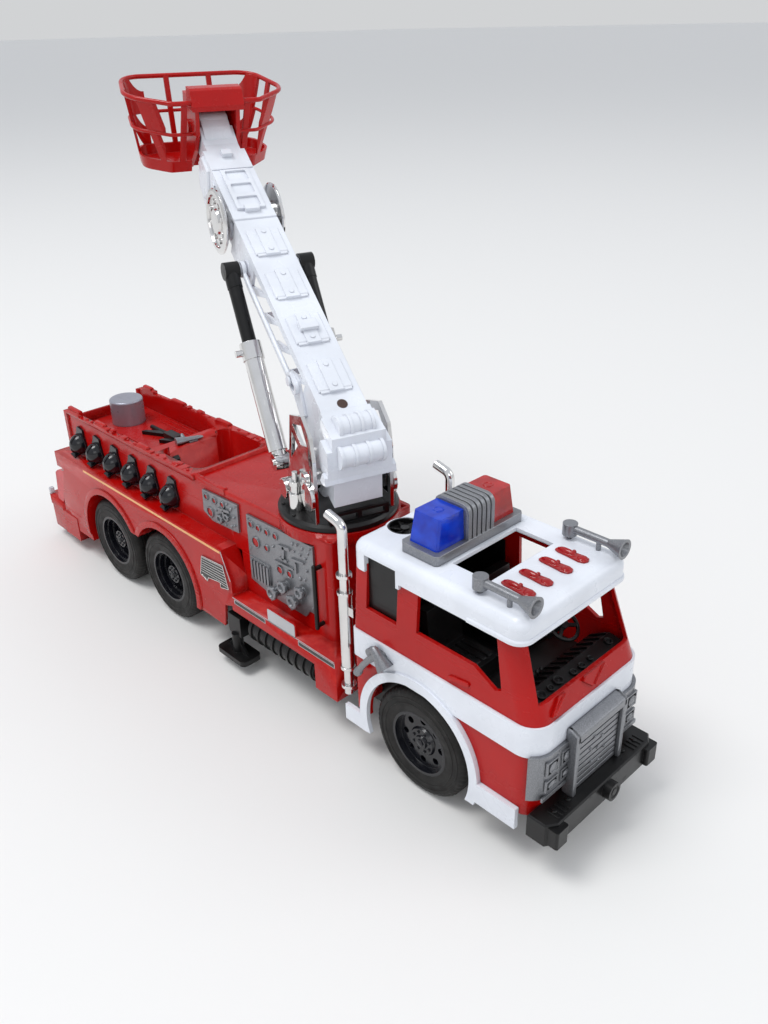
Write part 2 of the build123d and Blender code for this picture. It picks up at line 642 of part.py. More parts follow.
def cab_shell():
    cab = cab_solid(0.0) - cab_solid(CAB_WALL)
    cab -= side_prism(SIDE_WINDOW, -60.0, 60.0)
    cab -= side_prism(REAR_WINDOW, -60.0, 60.0)
    z0, z1 = WINDSCREEN_Z
    half = WINDSCREEN_HALF_W
    cab -= front_prism([(-half, z0), (half, z0), (half - 3.0, z1), (3.0 - half, z1)], -270.0, -225.0)
    cab -= cross_cylinder(ARCH_R, -60.0, 60.0, FRONT_AXLE_Y, TYRE_R)
    cab -= block(-CHASSIS_HALF_W - 0.3, CHASSIS_HALF_W + 0.3, -252.0, -100.0, 0.0, CHASSIS_TOP_Z)
    return cab


FOOT_FROM_AXLE = (41.0, 60.5)
SKIRT_FROM_AXLE = (-73.5, -39.5)


def flare(x0, x1):
    """Wheel flare with its rear foot and the skirt that runs to the bumper."""
    arch = cross_cylinder(FLARE_R, x0, x1, FRONT_AXLE_Y, TYRE_R)
    arch -= block(-70.0, 70.0, FRONT_AXLE_Y - 80.0, FRONT_AXLE_Y + 80.0, -20.0, 21.0)
    skirt = block(x0, x1, FRONT_AXLE_Y + SKIRT_FROM_AXLE[0], FRONT_AXLE_Y + SKIRT_FROM_AXLE[1], 24.0, 38.0)
    foot = block(x0, x1, FRONT_AXLE_Y + FOOT_FROM_AXLE[0], FRONT_AXLE_Y + FOOT_FROM_AXLE[1], 20.5, 32.0)
    shape = arch + skirt + foot
    return shape - cross_cylinder(ARCH_R, x0 - 1.0, x1 + 1.0, FRONT_AXLE_Y, TYRE_R)


def cab_trim():
    """White belt band with the wheel flares and skirts."""
    outer = extrude(cab_section(CAB_HALF_W + BELT_OUT, CAB_FRONT_Y - BELT_OUT, BELT_LOW_Z,
                                CAB_CORNER_R + BELT_OUT, 3.0), amount=BELT_TOP_Z - BELT_LOW_Z)
    inner = extrude(cab_section(CAB_HALF_W, CAB_FRONT_Y, BELT_LOW_Z, CAB_CORNER_R, 3.0),
                    amount=BELT_TOP_Z - BELT_LOW_Z)
    band = outer - inner
    side = flare(-FLARE_OUT_X, -CAB_HALF_W)
    return band + side + left(side)


FAN_X = 15.0
FAN_Y = -131.0
FAN_WELL_R = 10.2


def cab_roof():
    roof = block(-ROOF_HALF_W, ROOF_HALF_W, ROOF_FRONT_Y, CAB_REAR_Y + 0.6, 134.5, ROOF_TOP_Z)
    roof = fillet(roof.edges().filter_by(Axis.Z), 8.0)
    roof = fillet(roof.edges().group_by(Axis.Z)[-1], 6.0)
    roof -= extrude(cab_section(CAB_TOP_HALF_W + 0.35, CAB_TOP_FRONT_Y - 0.8, 130.0, CAB_CORNER_R,
                                3.0, CAB_REAR_Y + 2.0), amount=CAB_TOP_Z - 130.0)
    roof -= extrude(cab_section(CAB_TOP_HALF_W - CAB_WALL, CAB_TOP_FRONT_Y + CAB_WALL, 130.0, 9.0,
                                1.0, CAB_REAR_Y - CAB_WALL), amount=ROOF_TOP_Z - ROOF_WALL - 130.0)
    roof -= block(-60.0, 60.0, -300.0, -157.0, 130.0, 137.6)
    roof -= block(-SUNROOF_HALF_W, SUNROOF_HALF_W, SUNROOF_FRONT_Y, SUNROOF_REAR_Y, 130.0, 160.0)
    roof -= side_prism(REAR_WINDOW, -60.0, 60.0)
    for x in (-FAN_X, FAN_X):
        roof += upright(FAN_WELL_R + 1.4, x, FAN_Y, ROOF_TOP_Z - 6.0, ROOF_TOP_Z - 1.0)
        roof -= upright(FAN_WELL_R, x, FAN_Y, ROOF_TOP_Z - 4.5, ROOF_TOP_Z + 2.0)
    return roof


def roof_fans():
    fans = None
    z = ROOF_TOP_Z - 4.5
    for x in (-FAN_X, FAN_X):
        fan = upright(FAN_WELL_R - 0.2, x, FAN_Y, z, z + 0.8)
        fan += upright(2.6, x, FAN_Y, z, z + 3.6)
        for i in range(6):
            blade = Rot(0, 0, 60 * i) * Pos(5.6, 0, 0) * Rot(22, 0, 0) * Box(6.6, 3.6, 0.9)
            fan += Pos(x, FAN_Y, z + 1.9) * blade
        ring = upright(FAN_WELL_R - 0.2, x, FAN_Y, z, z + 4.2)
        ring -= upright(FAN_WELL_R - 1.2, x, FAN_Y, z - 1.0, z + 5.0)
        fan += ring
        fans = fan if fans is None else fans + fan
    return fans


LIGHT_BAR_Y = (-176.0, -144.0)
LIGHT_BAR_HALF_W = 37.5
LIGHT_BAR_TOP_Z = 177.0
LENS_IN_X = 12.5


def lens_right():
    y0, y1 = LIGHT_BAR_Y
    low_z = ROOF_TOP_Z + 6.0
    low = Pos(-(LENS_IN_X + 36.0) / 2, (y0 + y1) / 2, low_z) * Rectangle(36.0 - LENS_IN_X, y1 - y0 - 4.0)
    top = Pos(-(LENS_IN_X + 32.0) / 2, (y0 + y1) / 2, LIGHT_BAR_TOP_Z)
    top = top * Rectangle(32.0 - LENS_IN_X, y1 - y0 - 12.0)
    lens = loft([low, top])
    for x in (-18.5, -27.0):
        lens -= Pos(x, (y0 + y1) / 2, LIGHT_BAR_TOP_Z + 3.0) * Sphere(4.6)
    return lens


def light_bar():
    y0, y1 = LIGHT_BAR_Y
    mid_y = (y0 + y1) / 2
    half, tip = LIGHT_BAR_HALF_W - 5.0, LIGHT_BAR_HALF_W + 1.0
    plan = [(-half, y0), (half, y0), (tip, mid_y - 3.0), (tip, mid_y + 3.0), (half, y1), (-half, y1),
            (-tip, mid_y + 3.0), (-tip, mid_y - 3.0)]
    base = plan_prism(plan, ROOF_TOP_Z, ROOF_TOP_Z + 6.0)
    base = fillet(base.edges().filter_by(Axis.Z), 1.6)
    low = [(y0 + 1.6, ROOF_TOP_Z + 6.0), (y1 - 1.6, ROOF_TOP_Z + 6.0), (y1 - 5.0, LIGHT_BAR_TOP_Z + 0.6),
           (y0 + 5.0, LIGHT_BAR_TOP_Z + 0.6)]
    centre = side_prism(low, -LENS_IN_X, LENS_IN_X)
    for i in range(5):
        x = -10.0 + 5.0 * i
        rib = [(y0 + 0.6, ROOF_TOP_Z + 5.0), (y1 - 0.6, ROOF_TOP_Z + 5.0),
               (y1 - 4.2, LIGHT_BAR_TOP_Z + 1.6), (y0 + 4.2, LIGHT_BAR_TOP_Z + 1.6)]
        centre += side_prism(rib, x - 1.3, x + 1.3)
    return base + centre


HORN_X = -38.0
HORN_Z = 158.5


def air_horn_right():
    """Air horn on two feet, its bell at the roof's front edge."""
    pipe = lengthwise(2.3, HORN_X, -232.0, -208.0, HORN_Z)
    bell = Pos(HORN_X, -237.0, HORN_Z) * Rot(90, 0, 0) * Cone(2.3, 5.8, 10.0)
    cup = Pos(HORN_X, -239.5, HORN_Z) * Rot(90, 0, 0) * Cone(1.0, 4.6, 7.0)
    drum = upright(4.2, HORN_X, -207.0, HORN_Z - 4.0, HORN_Z + 3.0)
    feet = upright(1.6, HORN_X, -207.0, ROOF_TOP_Z, HORN_Z)
    feet += upright(1.4, HORN_X, -226.0, ROOF_TOP_Z, HORN_Z)
    return pipe + bell + drum + feet - cup


MARKER_XS = (-22.5, -7.5, 7.5, 22.5)
MARKER_Y = -219.0


def marker_lights():
    lamps = None
    for x in MARKER_XS:
        wedge = side_prism([(MARKER_Y - 6.5, ROOF_TOP_Z), (MARKER_Y + 6.5, ROOF_TOP_Z),
                            (MARKER_Y - 2.0, ROOF_TOP_Z + 3.6), (MARKER_Y - 5.5, ROOF_TOP_Z + 3.6)],
                           x - 3.0, x + 3.0)
        lamps = wedge if lamps is None else lamps + wedge
    return lamps


STACK_X = -45.6
STACK_Y = -111.0
STACK_R = 3.0


def exhaust_stack_right():
    """Upright exhaust with a bent tip, a heat shield and clamps."""
    path = FilletPolyline((STACK_X, STACK_Y, 38.0), (STACK_X, STACK_Y, 157.0),
                          (STACK_X, STACK_Y + 12.0, 160.0), radius=5.0)
    stack = sweep(Plane((STACK_X, STACK_Y, 38.0), z_dir=(0, 0, 1)) * Circle(STACK_R), path=path)
    shield = upright(4.2, STACK_X, STACK_Y, 58.0, 112.0)
    shield -= upright(STACK_R, STACK_X, STACK_Y, 50.0, 120.0)
    for z in (44.0, 58.0, 112.0, 124.0):
        shield += upright(4.8, STACK_X, STACK_Y, z - 1.0, z + 1.0) - upright(STACK_R, STACK_X, STACK_Y,
                                                                            z - 2.0, z + 2.0)
    bracket = block(STACK_X - 1.5, STACK_X + 1.5, STACK_Y - 8.2, STACK_Y - 2.0, 98.0, 104.0)
    return stack + shield + bracket


def side_nozzle_right():
    """Monitor nozzle on the cab side, above the belt's rear end."""
    x = -CAB_HALF_W - BELT_OUT
    plate = block(x - 1.6, x, -148.0, -132.0, 79.0, 87.0)
    pipe = Pos(x - 4.6, -142.0, 80.0) * Rot(20, 0, 0) * Rot(90, 0, 0) * Cylinder(2.8, 16.0)
    cone = Pos(x - 4.6, -152.0, 76.4) * Rot(20, 0, 0) * Rot(90, 0, 0) * Cone(2.6, 4.2, 7.0)
    cone -= block(-FLARE_OUT_X, 0.0, -170.0, -130.0, 60.0, 90.0)
    stem = cross_cylinder(3.2, x - 5.0, x, -138.0, 82.5)
    return plate + pipe + cone + stem


CLUSTER_IN_X = 17.5
CLUSTER_FRONT_Y = CAB_FRONT_Y - 3.4
CLUSTER_REAR_Y = -250.5
CLUSTER_Z = (47.0, 75.6)
LAMP_BOXES = [
    # x from, x to, z from, z to
    (19.5, 29.0, 52.0, 59.5), (19.5, 29.0, 62.5, 72.0), (31.5, 41.5, 52.0, 59.5), (31.5, 41.5, 62.5, 72.0),
]
GRILLE_HALF_W = 20.0
GRILLE_Z = (28.5, 81.5)
GRILLE_SLATS = 9


def lamp_cluster():
    """Lamp cluster of the left side, wrapped round the cab's rounded corner."""
    z0, z1 = CLUSTER_Z
    wrap = extrude(cab_section(CAB_HALF_W + 3.0, CLUSTER_FRONT_Y, z0, CAB_CORNER_R + 2.0), amount=z1 - z0)
    wrap &= block(CLUSTER_IN_X, 60.0, -270.0, CLUSTER_REAR_Y, z0, z1)
    for x0, x1, low, high in LAMP_BOXES:
        wrap += block(x0, x1, CLUSTER_FRONT_Y - 0.8, CLUSTER_FRONT_Y + 0.5, low, high)
        wrap -= block(x0 + 1.0, x1 - 1.0, CLUSTER_FRONT_Y - 1.0, CLUSTER_FRONT_Y + 0.4, low + 1.0, high - 1.0)
    wrap += block(CLUSTER_IN_X, 44.0, CLUSTER_FRONT_Y - 0.8, CLUSTER_FRONT_Y + 0.5, z0, z0 + 2.6)
    belt = extrude(cab_section(CAB_HALF_W + BELT_OUT, CAB_FRONT_Y - BELT_OUT, BELT_LOW_Z,
                               CAB_CORNER_R + BELT_OUT), amount=20.0)
    return wrap - cab_solid(0.0) - belt


def grille():
    """Slatted grille with a lamp cluster on each side."""
    y0 = CAB_FRONT_Y - 3.0
    z0, z1 = GRILLE_Z
    belt_y = CAB_FRONT_Y - BELT_OUT
    panel = block(-GRILLE_HALF_W, GRILLE_HALF_W, y0, belt_y, z0, z1)
    panel += block(-GRILLE_HALF_W, GRILLE_HALF_W, y0, CAB_FRONT_Y, BUMPER_TOP_Z + 1.0, BELT_LOW_Z)
    pitch = (z1 - z0 - 4.0) / GRILLE_SLATS
    for i in range(GRILLE_SLATS):
        z = z0 + 3.4 + pitch * i
        panel += block(-GRILLE_HALF_W + 1.0, GRILLE_HALF_W - 1.0, y0 - 1.2, y0 + 0.2, z - 0.9, z + 0.9)
    return panel + lamp_cluster() + left(lamp_cluster())


GUARD_HALF_W = 21.8
GUARD_Y = CAB_FRONT_Y - 6.6
GUARD_TOP_Z = 81.0
GUARD_R = 2.2


def grille_guard():
    """Fat bar guard in front of the grille: an upturned U with two cross bars."""
    low_z = BUMPER_TOP_Z - 3.0
    path = FilletPolyline((-GUARD_HALF_W, GUARD_Y, low_z), (-GUARD_HALF_W, GUARD_Y, GUARD_TOP_Z),
                          (GUARD_HALF_W, GUARD_Y, GUARD_TOP_Z), (GUARD_HALF_W, GUARD_Y, low_z), radius=6.0)
    guard = sweep(Plane((-GUARD_HALF_W, GUARD_Y, low_z), z_dir=(0, 0, 1)) * Circle(GUARD_R), path=path)
    for z in (52.0, 66.0):
        guard += cross_cylinder(1.3, -GUARD_HALF_W, GUARD_HALF_W, GUARD_Y, z)
    for x in (-GUARD_HALF_W, GUARD_HALF_W):
        guard += block(x - 1.4, x + 1.4, GUARD_Y, CAB_FRONT_Y - BELT_OUT - 0.3, 77.0, 79.6)
    return guard


BUMPER_SIDE_X = 49.5
BUMPER_TOP_Z = 39.6
BUMPER_LOW_Z = 25.0
BUMPER_PLAN = [
    (-BUMPER_SIDE_X, -253.0), (-BUMPER_SIDE_X, -264.7), (-43.1, -268.9), (43.1, -268.9),
    (BUMPER_SIDE_X, -264.7), (BUMPER_SIDE_X, -253.0),
]
SIREN_AT = (2.0, 33.0)


def front_bumper():
    """Front bumper with its siren and end blocks."""
    bumper = plan_prism(BUMPER_PLAN, BUMPER_LOW_Z, BUMPER_TOP_Z)
    bumper = chamfer(bumper.edges().group_by(Axis.Z)[-1], 0.8)
    bumper -= cab_solid(0.0)
    bumper -= flare(-FLARE_OUT_X, -CAB_HALF_W) + left(flare(-FLARE_OUT_X, -CAB_HALF_W))
    y0 = CAB_FRONT_Y - 3.0
    bumper -= block(-GRILLE_HALF_W, GRILLE_HALF_W, y0 - 1.3, CAB_FRONT_Y, GRILLE_Z[0], BUMPER_TOP_Z + 1.0)
    x, z = SIREN_AT
    bumper += lengthwise(5.6, x, -273.5, -268.0, z)
    bumper -= lengthwise(4.2, x, -274.0, -271.5, z)
    bumper += lengthwise(2.0, x, -273.0, -270.0, z)
    for x in (-43.0, 43.0):
        end = block(x - 5.0, x + 5.0, -272.0, -262.0, BUMPER_LOW_Z + 1.0, BUMPER_TOP_Z - 2.0)
        bumper += fillet(end.edges().filter_by(Axis.Z).group_by(Axis.Y)[0], 1.5)
    for x in (-GUARD_HALF_W, GUARD_HALF_W):
        bumper -= upright(GUARD_R, x, GUARD_Y, BUMPER_TOP_Z - 3.0, BUMPER_TOP_Z + 2.0)
    return bumper


def cab_interior():
    """Floor, seats and dashboard of the open cab."""
    inner_x = CAB_HALF_W - CAB_WALL
    floor = block(-inner_x, inner_x, CAB_FRONT_Y + CAB_WALL, CAB_REAR_Y - CAB_WALL, 78.0, 80.5)
    dash = side_prism([(-251.0, 80.0), (-251.0, 100.5), (-238.0, 103.0), (-226.0, 96.0), (-222.0, 80.0)],
                      -inner_x + 6.0, inner_x - 6.0)
    seats = None
    for x in (-22.0, 22.0):
        seat = block(x - 14.0, x + 14.0, -198.0, -170.0, 80.0, 92.0)
        seat += side_prism([(-172.0, 80.0), (-166.0, 80.0), (-162.0, 120.0), (-168.0, 120.0)],
                           x - 14.0, x + 14.0)
        seats = seat if seats is None else seats + seat
    bench = block(-40.0, 40.0, -142.0, -123.0, 80.0, 92.0)
    room = (floor + dash + seats + bench) & cab_solid(CAB_WALL)
    return room - steering_place(steering_column())


WHEEL_AT = (21.0, -219.0, 108.0)
STEERING_R = 9.6


def steering_place(shape):
    return Pos(*WHEEL_AT) * Rot(35, 0, 0) * shape


def steering_column():
    return Pos(0, 0, -8.0) * Cylinder(1.4, 16.0)


def steering_wheel():
    wheel = Torus(STEERING_R, 1.1)
    for i in range(3):
        wheel += Rot(0, 0, 90 + 120 * i) * Pos(STEERING_R / 2, 0, 0) * Box(STEERING_R, 2.0, 1.2)
    wheel += Cylinder(2.8, 3.0)
    return steering_place(wheel + steering_column())


# Turntable and boom

def turret(shape):
    """Place a shape drawn in the turret frame."""
    return Pos(0, TURRET_Y, TURRET_Z) * Rot(0, 0, TURRET_YAW) * shape


def boom(shape):
    """Place a shape drawn in the boom frame."""
    return turret(Pos(0, LIFT_Y, LIFT_Z) * Rot(LIFT_ANGLE, 0, 0) * shape)


def boom_to_turret(t, n):
    """Turret (y, z) of a point (t, n) of the boom at rest."""
    a = radians(LIFT_ANGLE)
    return (LIFT_Y + t * cos(a) - n * sin(a), LIFT_Z + t * sin(a) + n * cos(a))


FRONT_FRAME = (-33.0, -30.5, 20.0, 7.0)


def turntable_disc():
    disc = upright(DISC_R, 0, 0, -DISC_H, 0)
    disc = chamfer(disc.edges().group_by(Axis.Z)[-1], 1.8)
    disc += upright(SPIGOT_R, 0, 0, -DISC_H - SPIGOT_DEPTH, -DISC_H)
    y0, y1, half_w, height = FRONT_FRAME
    frame = block(-half_w, half_w, y0, y1, 0.0, height)
    frame -= block(3.0 - half_w, half_w - 3.0, y0 - 1.0, y1 + 1.0, 1.6, height - 1.8)
    frame += block(-1.5, 1.5, y0, y1, 0.0, height)
    return turret(disc + frame)


CHEEK_OUTLINE = [
    (-27.0, 0.0), (21.0, 0.0), (21.0, 8.0), (14.0, 24.0), (6.9, 60.0), (-12.5, 65.6), (-24.0, 55.6),
    (-27.0, 41.0),
]
CHEEK_WINDOWS = [
    [(-20.0, 49.0), (-12.0, 59.5), (3.0, 55.6), (-9.5, 46.5)],
    [(-4.0, 43.5), (5.0, 49.5), (9.0, 31.0)],
    [(-23.0, 8.0), (-23.0, 34.0), (-21.0, 34.0), (-21.0, 12.0), (-12.0, 8.0)],
]
PLATE_OUTLINE = [(2.0, 0.0), (37.0, 0.0), (39.0, 8.0), (38.0, 22.0), (31.0, 27.0), (24.0, 24.0), (12.0, 8.0),
                 (2.0, 6.0)]
FITTING_AT = (-27.0, -2.0)


def side_fitting():
    """Bottle-shaped fitting that stands on the disc, with a knurled knob behind it."""
    x, y = FITTING_AT
    fitting = upright(4.6, x - 2.2, y, 0.0, 12.0) + upright(3.2, x - 2.2, y, 12.0, 17.0)
    fitting += upright(4.0, x - 2.2, y, 17.0, 20.0) + upright(1.8, x - 2.2, y, 20.0, 26.0)
    knob = cross_cylinder(6.0, x - 5.5, x + 0.5, 12.5, 9.0)
    for i in range(10):
        knob += Pos(x - 2.5, 12.5, 9.0) * Rot(36 * i, 0, 0) * Pos(0, 6.0, 0) * Box(6.0, 1.2, 1.6)
    return fitting + knob


def turntable_bracket():
    cheek = side_prism(CHEEK_OUTLINE, -CHEEK_OUT_X, -CHEEK_IN_X)
    for window in CHEEK_WINDOWS:
        cheek -= side_prism(window, -40.0, 0.0)
    plate = side_prism(PLATE_OUTLINE, -PLATE_OUT_X, -PLATE_IN_X)
    foot = block(-CHEEK_OUT_X, -PLATE_IN_X, 2.0, 21.0, 0.0, 2.4)
    web = block(-CHEEK_OUT_X, -PLATE_IN_X, 17.0, 19.0, 0.0, 8.0)
    barrel_in_x = CYLINDER_X - KNUCKLE_HALF_W
    spacer = cross_cylinder(4.4, 0.3 - barrel_in_x, -PLATE_OUT_X, BARREL_Y, BARREL_Z)
    knuckle_pin = cross_cylinder(KNUCKLE_PIN_R, -CYLINDER_X - KNUCKLE_HALF_W - 1.0, -PLATE_IN_X, BARREL_Y,
                                 BARREL_Z)
    boss = cross_cylinder(9.2, -CHEEK_OUT_X - 2.2, -CHEEK_OUT_X, -19.0, 15.5)
    boss += cross_cylinder(6.0, -CHEEK_OUT_X - 1.4, -CHEEK_OUT_X, LIFT_Y, LIFT_Z)
    hub = cross_cylinder(6.0, -CHEEK_IN_X, -COVER_HALF_W - 0.3, LIFT_Y, LIFT_Z)
    side = cheek + plate + foot + web + spacer + knuckle_pin + boss + hub + side_fitting()
    bracket = both(side)
    bracket += block(-PLATE_IN_X, PLATE_IN_X, 24.0, 27.0, 0.0, 14.0)
    bracket += cross_cylinder(LIFT_PIN_R, -CHEEK_IN_X, CHEEK_IN_X, LIFT_Y, LIFT_Z)
    return turret(bracket)


LOWER_OUTLINE = [
    (4.0, -4.0), (34.0, 4.0), (60.0, BOOM_LOW_N), (SEAM_T, BOOM_LOW_N), (SEAM_T, BOOM_TOP_N),
    (18.6, BOOM_TOP_N), (0.0, 16.0),
]
LOWER_HOLLOW = [
    (32.0, -10.0), (SEAM_T + 1.0, -10.0), (SEAM_T + 1.0, BOOM_TOP_N - BOOM_WALL),
    (32.0, BOOM_TOP_N - BOOM_WALL),
]
COVER_OUTLINE = [
    (-1.1, 41.7), (16.5, 39.7), (20.0, 39.7), (22.0, 20.0), (8.0, -4.0), (-22.7, 0.4), (-13.3, 15.5),
    (-17.4, 18.7), (-15.3, 20.8),
]
COVER_TOP_OUTLINE = [(-1.1, 41.7), (16.5, 39.7), (14.0, 32.0), (-5.0, 32.0), (-6.0, 34.5)]
SHOULDER_OUTLINE = [(-5.5, 35.2), (5.0, 34.5), (5.0, 18.0), (-14.0, 18.0), (-15.3, 20.8)]
LIP_OUTLINE = [(-14.3, 22.3), (-10.0, 22.3), (-10.0, 15.5), (-13.3, 15.5), (-17.4, 18.7), (-15.3, 20.8)]
HUMPS = [
    # t, n, half length
    (7.6, 39.6, 11.5), (-7.6, 31.6, 14.5),
]
HUMP_R = 6.6
HUMP_RINGS = 4
PAD_FIRST_T = 34.8
PAD_PITCH = 38.3
PAD_COUNT = 4
PAD_LENGTH = 22.0
PAD_HALF_W = 11.1
PAD_RISE = 1.6
STRIP_RISE = 2.4
TRUSS_FIRST_T = 46.0
TRUSS_PITCH = 24.0
TRUSS_BAYS = 4
TRUSS_STRUT = 4.0


def boom_pad(t, with_block):
    """Raised plate on the boom's top, with its centre strip and two bosses."""
    n = BOOM_TOP_N
    pad = block(-PAD_HALF_W, PAD_HALF_W, t, t + PAD_LENGTH, n - 0.2, n + PAD_RISE)
    pad = chamfer(pad.edges().group_by(Axis.Z)[-1], 0.7)
    pad += block(-PAD_HALF_W + 1.0, PAD_HALF_W - 1.0, t - 1.4, t + 1.0, n - 0.2, n + PAD_RISE - 0.4)
    pad += block(-4.6, 4.6, t - 1.4, t + PAD_LENGTH + 0.6, n - 0.2, n + STRIP_RISE)
    for end in (t + 3.0, t + PAD_LENGTH - 3.4):
        pad += upright(1.6, 0, end, n, n + STRIP_RISE + 0.6)
    if with_block:
        pad += block(-6.0, 6.0, t + 8.0, t + 15.0, n, n + 5.0)
    return pad


def motor_cover():
    """Twin-hump cover at the boom's foot, with its stepped shoulders and lip."""
    cover = side_prism(COVER_OUTLINE, -COVER_HALF_W, COVER_HALF_W)
    cover += side_prism(COVER_TOP_OUTLINE, -COVER_TOP_HALF_W, COVER_TOP_HALF_W)
    cover += side_prism(SHOULDER_OUTLINE, -SHOULDER_HALF_W, SHOULDER_HALF_W)
    cover += side_prism(LIP_OUTLINE, -LIP_HALF_W, LIP_HALF_W)
    for t, n, half in HUMPS:
        cover += cross_cylinder(HUMP_R, -half, half, t, n)
        pitch = (2 * half - 2.0) / (HUMP_RINGS - 1)
        for i in range(HUMP_RINGS):
            x = 1.0 - half + pitch * i
            cover += cross_cylinder(HUMP_R + 0.7, x - 1.0, x + 1.0, t, n)
    return cover


def lower_boom():
    arm = side_prism(LOWER_OUTLINE, -BOOM_HALF_W, BOOM_HALF_W)
    inner = BOOM_HALF_W - BOOM_WALL
    root_t = SEAM_T - TONGUE_ROOT
    arm -= side_prism(LOWER_HOLLOW, -inner, inner)
    for t in (70.0, 118.0, root_t):
        arm += block(-inner, inner, t - 1.0, t + 1.0, BOOM_LOW_N + 3.0, BOOM_TOP_N - 1.0)
    low, high = BOOM_LOW_N + 4.0, BOOM_TOP_N - 5.0
    for i in range(TRUSS_BAYS):
        t0 = TRUSS_FIRST_T + TRUSS_PITCH * i
        t1 = t0 + TRUSS_PITCH - TRUSS_STRUT
        arm -= side_prism([(t0, low), (t1, low), (t0, high)], -30.0, 30.0)
        arm -= side_prism([(t0 + TRUSS_STRUT, high), (t1 + TRUSS_STRUT, high), (t1 + TRUSS_STRUT, low + 4.0)],
                          -30.0, 30.0)
    arm += cross_cylinder(TONGUE_R, -COVER_HALF_W, COVER_HALF_W, 0.0, 0.0)
    arm += motor_cover()
    for i in range(PAD_COUNT):
        arm += boom_pad(PAD_FIRST_T + PAD_PITCH * i, i == 1)
    arm -= upright(2.2, 0, 24.4, 20.0, 50.0)
    tongue = side_prism([(root_t, BOOM_LOW_N + 0.4), (ELBOW_T, ELBOW_N - TONGUE_R),
                         (ELBOW_T, ELBOW_N + TONGUE_R), (root_t, BOOM_TOP_N - BOOM_WALL)],
                        -TONGUE_HALF_W, TONGUE_HALF_W)
    tongue += cross_cylinder(TONGUE_R, -TONGUE_HALF_W, TONGUE_HALF_W, ELBOW_T, ELBOW_N)
    tongue -= block(-10.0, 10.0, root_t - 6.0, SEAM_T + 1.6, 0.0, 60.0)
    arm += tongue
    arm += block(-inner - 0.5, inner + 0.5, root_t - 1.0, root_t + 2.0, BOOM_LOW_N + 0.4, BOOM_TOP_N - 1.0)
    arm -= cross_cylinder(LIFT_PIN_R + RUN_GAP, -40.0, 40.0, 0.0, 0.0)
    arm -= cross_cylinder(ELBOW_PIN_R + RUN_GAP, -40.0, 40.0, ELBOW_T, ELBOW_N)
    peg = cross_cylinder(PEG_R, -PEG_END_X, -inner, PEG_T, PEG_N)
    peg += cross_cylinder(PEG_R + 2.4, -BOOM_HALF_W - 0.8, -inner, PEG_T, PEG_N)
    arm += both(peg)
    return boom(arm)


LEVER_HEAD = (55.0, 25.6)
LEVER_OUTLINE = [(58.0, 30.4), (52.0, 30.4), (34.5, 18.0), (36.5, 12.6), (42.0, 13.0), (59.5, 23.0)]
EYE_LENGTH = 16.0
EYE_WIDTH = 8.6


def levelling_rod():
    """Rod along the boom's right side, from the peg to a slotted eye on a short lever."""
    x0, x1 = -BOOM_HALF_W - 4.6, -BOOM_HALF_W - 1.9
    x = (x0 + x1) / 2
    t, n = LEVER_HEAD
    rod = lengthwise(1.5, x, t + EYE_LENGTH / 2 - 1.0, PEG_T - PEG_R, n)
    ring = cross_cylinder(PEG_R + 1.8, x0, x1, PEG_T, PEG_N)
    eye = SlotOverall(EYE_LENGTH, EYE_WIDTH) - SlotOverall(EYE_LENGTH - 4.8, EYE_WIDTH - 4.4)
    eye = extrude(Plane.YZ * eye, amount=x1 - x0)
    lever = side_prism(LEVER_OUTLINE, x1, -BOOM_HALF_W)
    lever += cross_cylinder(2.0, x0 - 0.8, x1, t + 2.0, n)
    lever += cross_cylinder(3.0, x0 - 1.6, x0 - 0.4, t + 2.0, n)
    link = rod + ring - cross_cylinder(PEG_R, -40.0, 0.0, PEG_T, PEG_N) + Pos(x0, t, n) * eye
    return boom(link + lever)


def from_elbow(points):
    """Boom-frame points of an outline that is measured along from the elbow."""
    return [(ELBOW_T + t, n) for t, n in points]


CHEEK_HIGH = [
    (-14.0, BOOM_TOP_N - 0.6), (UPPER_LENGTH, BOOM_TOP_N - 0.6), (UPPER_LENGTH + 6.0, 28.0),
    (UPPER_LENGTH - 1.0, 10.0), (38.0, 2.0), (15.0, 3.0), (0.0, ELBOW_N - 13.2),
]
BULGE = [(UPPER_LENGTH - 16.0, 35.0), (UPPER_LENGTH - 2.0, 36.5), (UPPER_LENGTH + 3.5, 28.0),
         (UPPER_LENGTH - 3.0, 13.0), (UPPER_LENGTH - 14.0, 9.0), (UPPER_LENGTH - 22.0, 20.0)]
GUSSET = [(22.5, 34.0), (UPPER_LENGTH - 24.0, 34.0), (24.0, 12.0)]
NECK_BOX = [(46.0, 24.0), (72.0, 24.0), (72.0, 42.5), (58.0, BOOM_TOP_N), (46.0, BOOM_TOP_N)]
NECK_OUTLINE = [(62.0, 29.0), (80.0, NECK_N - NECK_R), (80.0, NECK_N + NECK_R), (70.0, 43.5), (62.0, 40.0)]
LADDER_HALF_W = 8.7
LADDER_T = (-8.0, 30.0)
LADDER_WINDOWS = 3


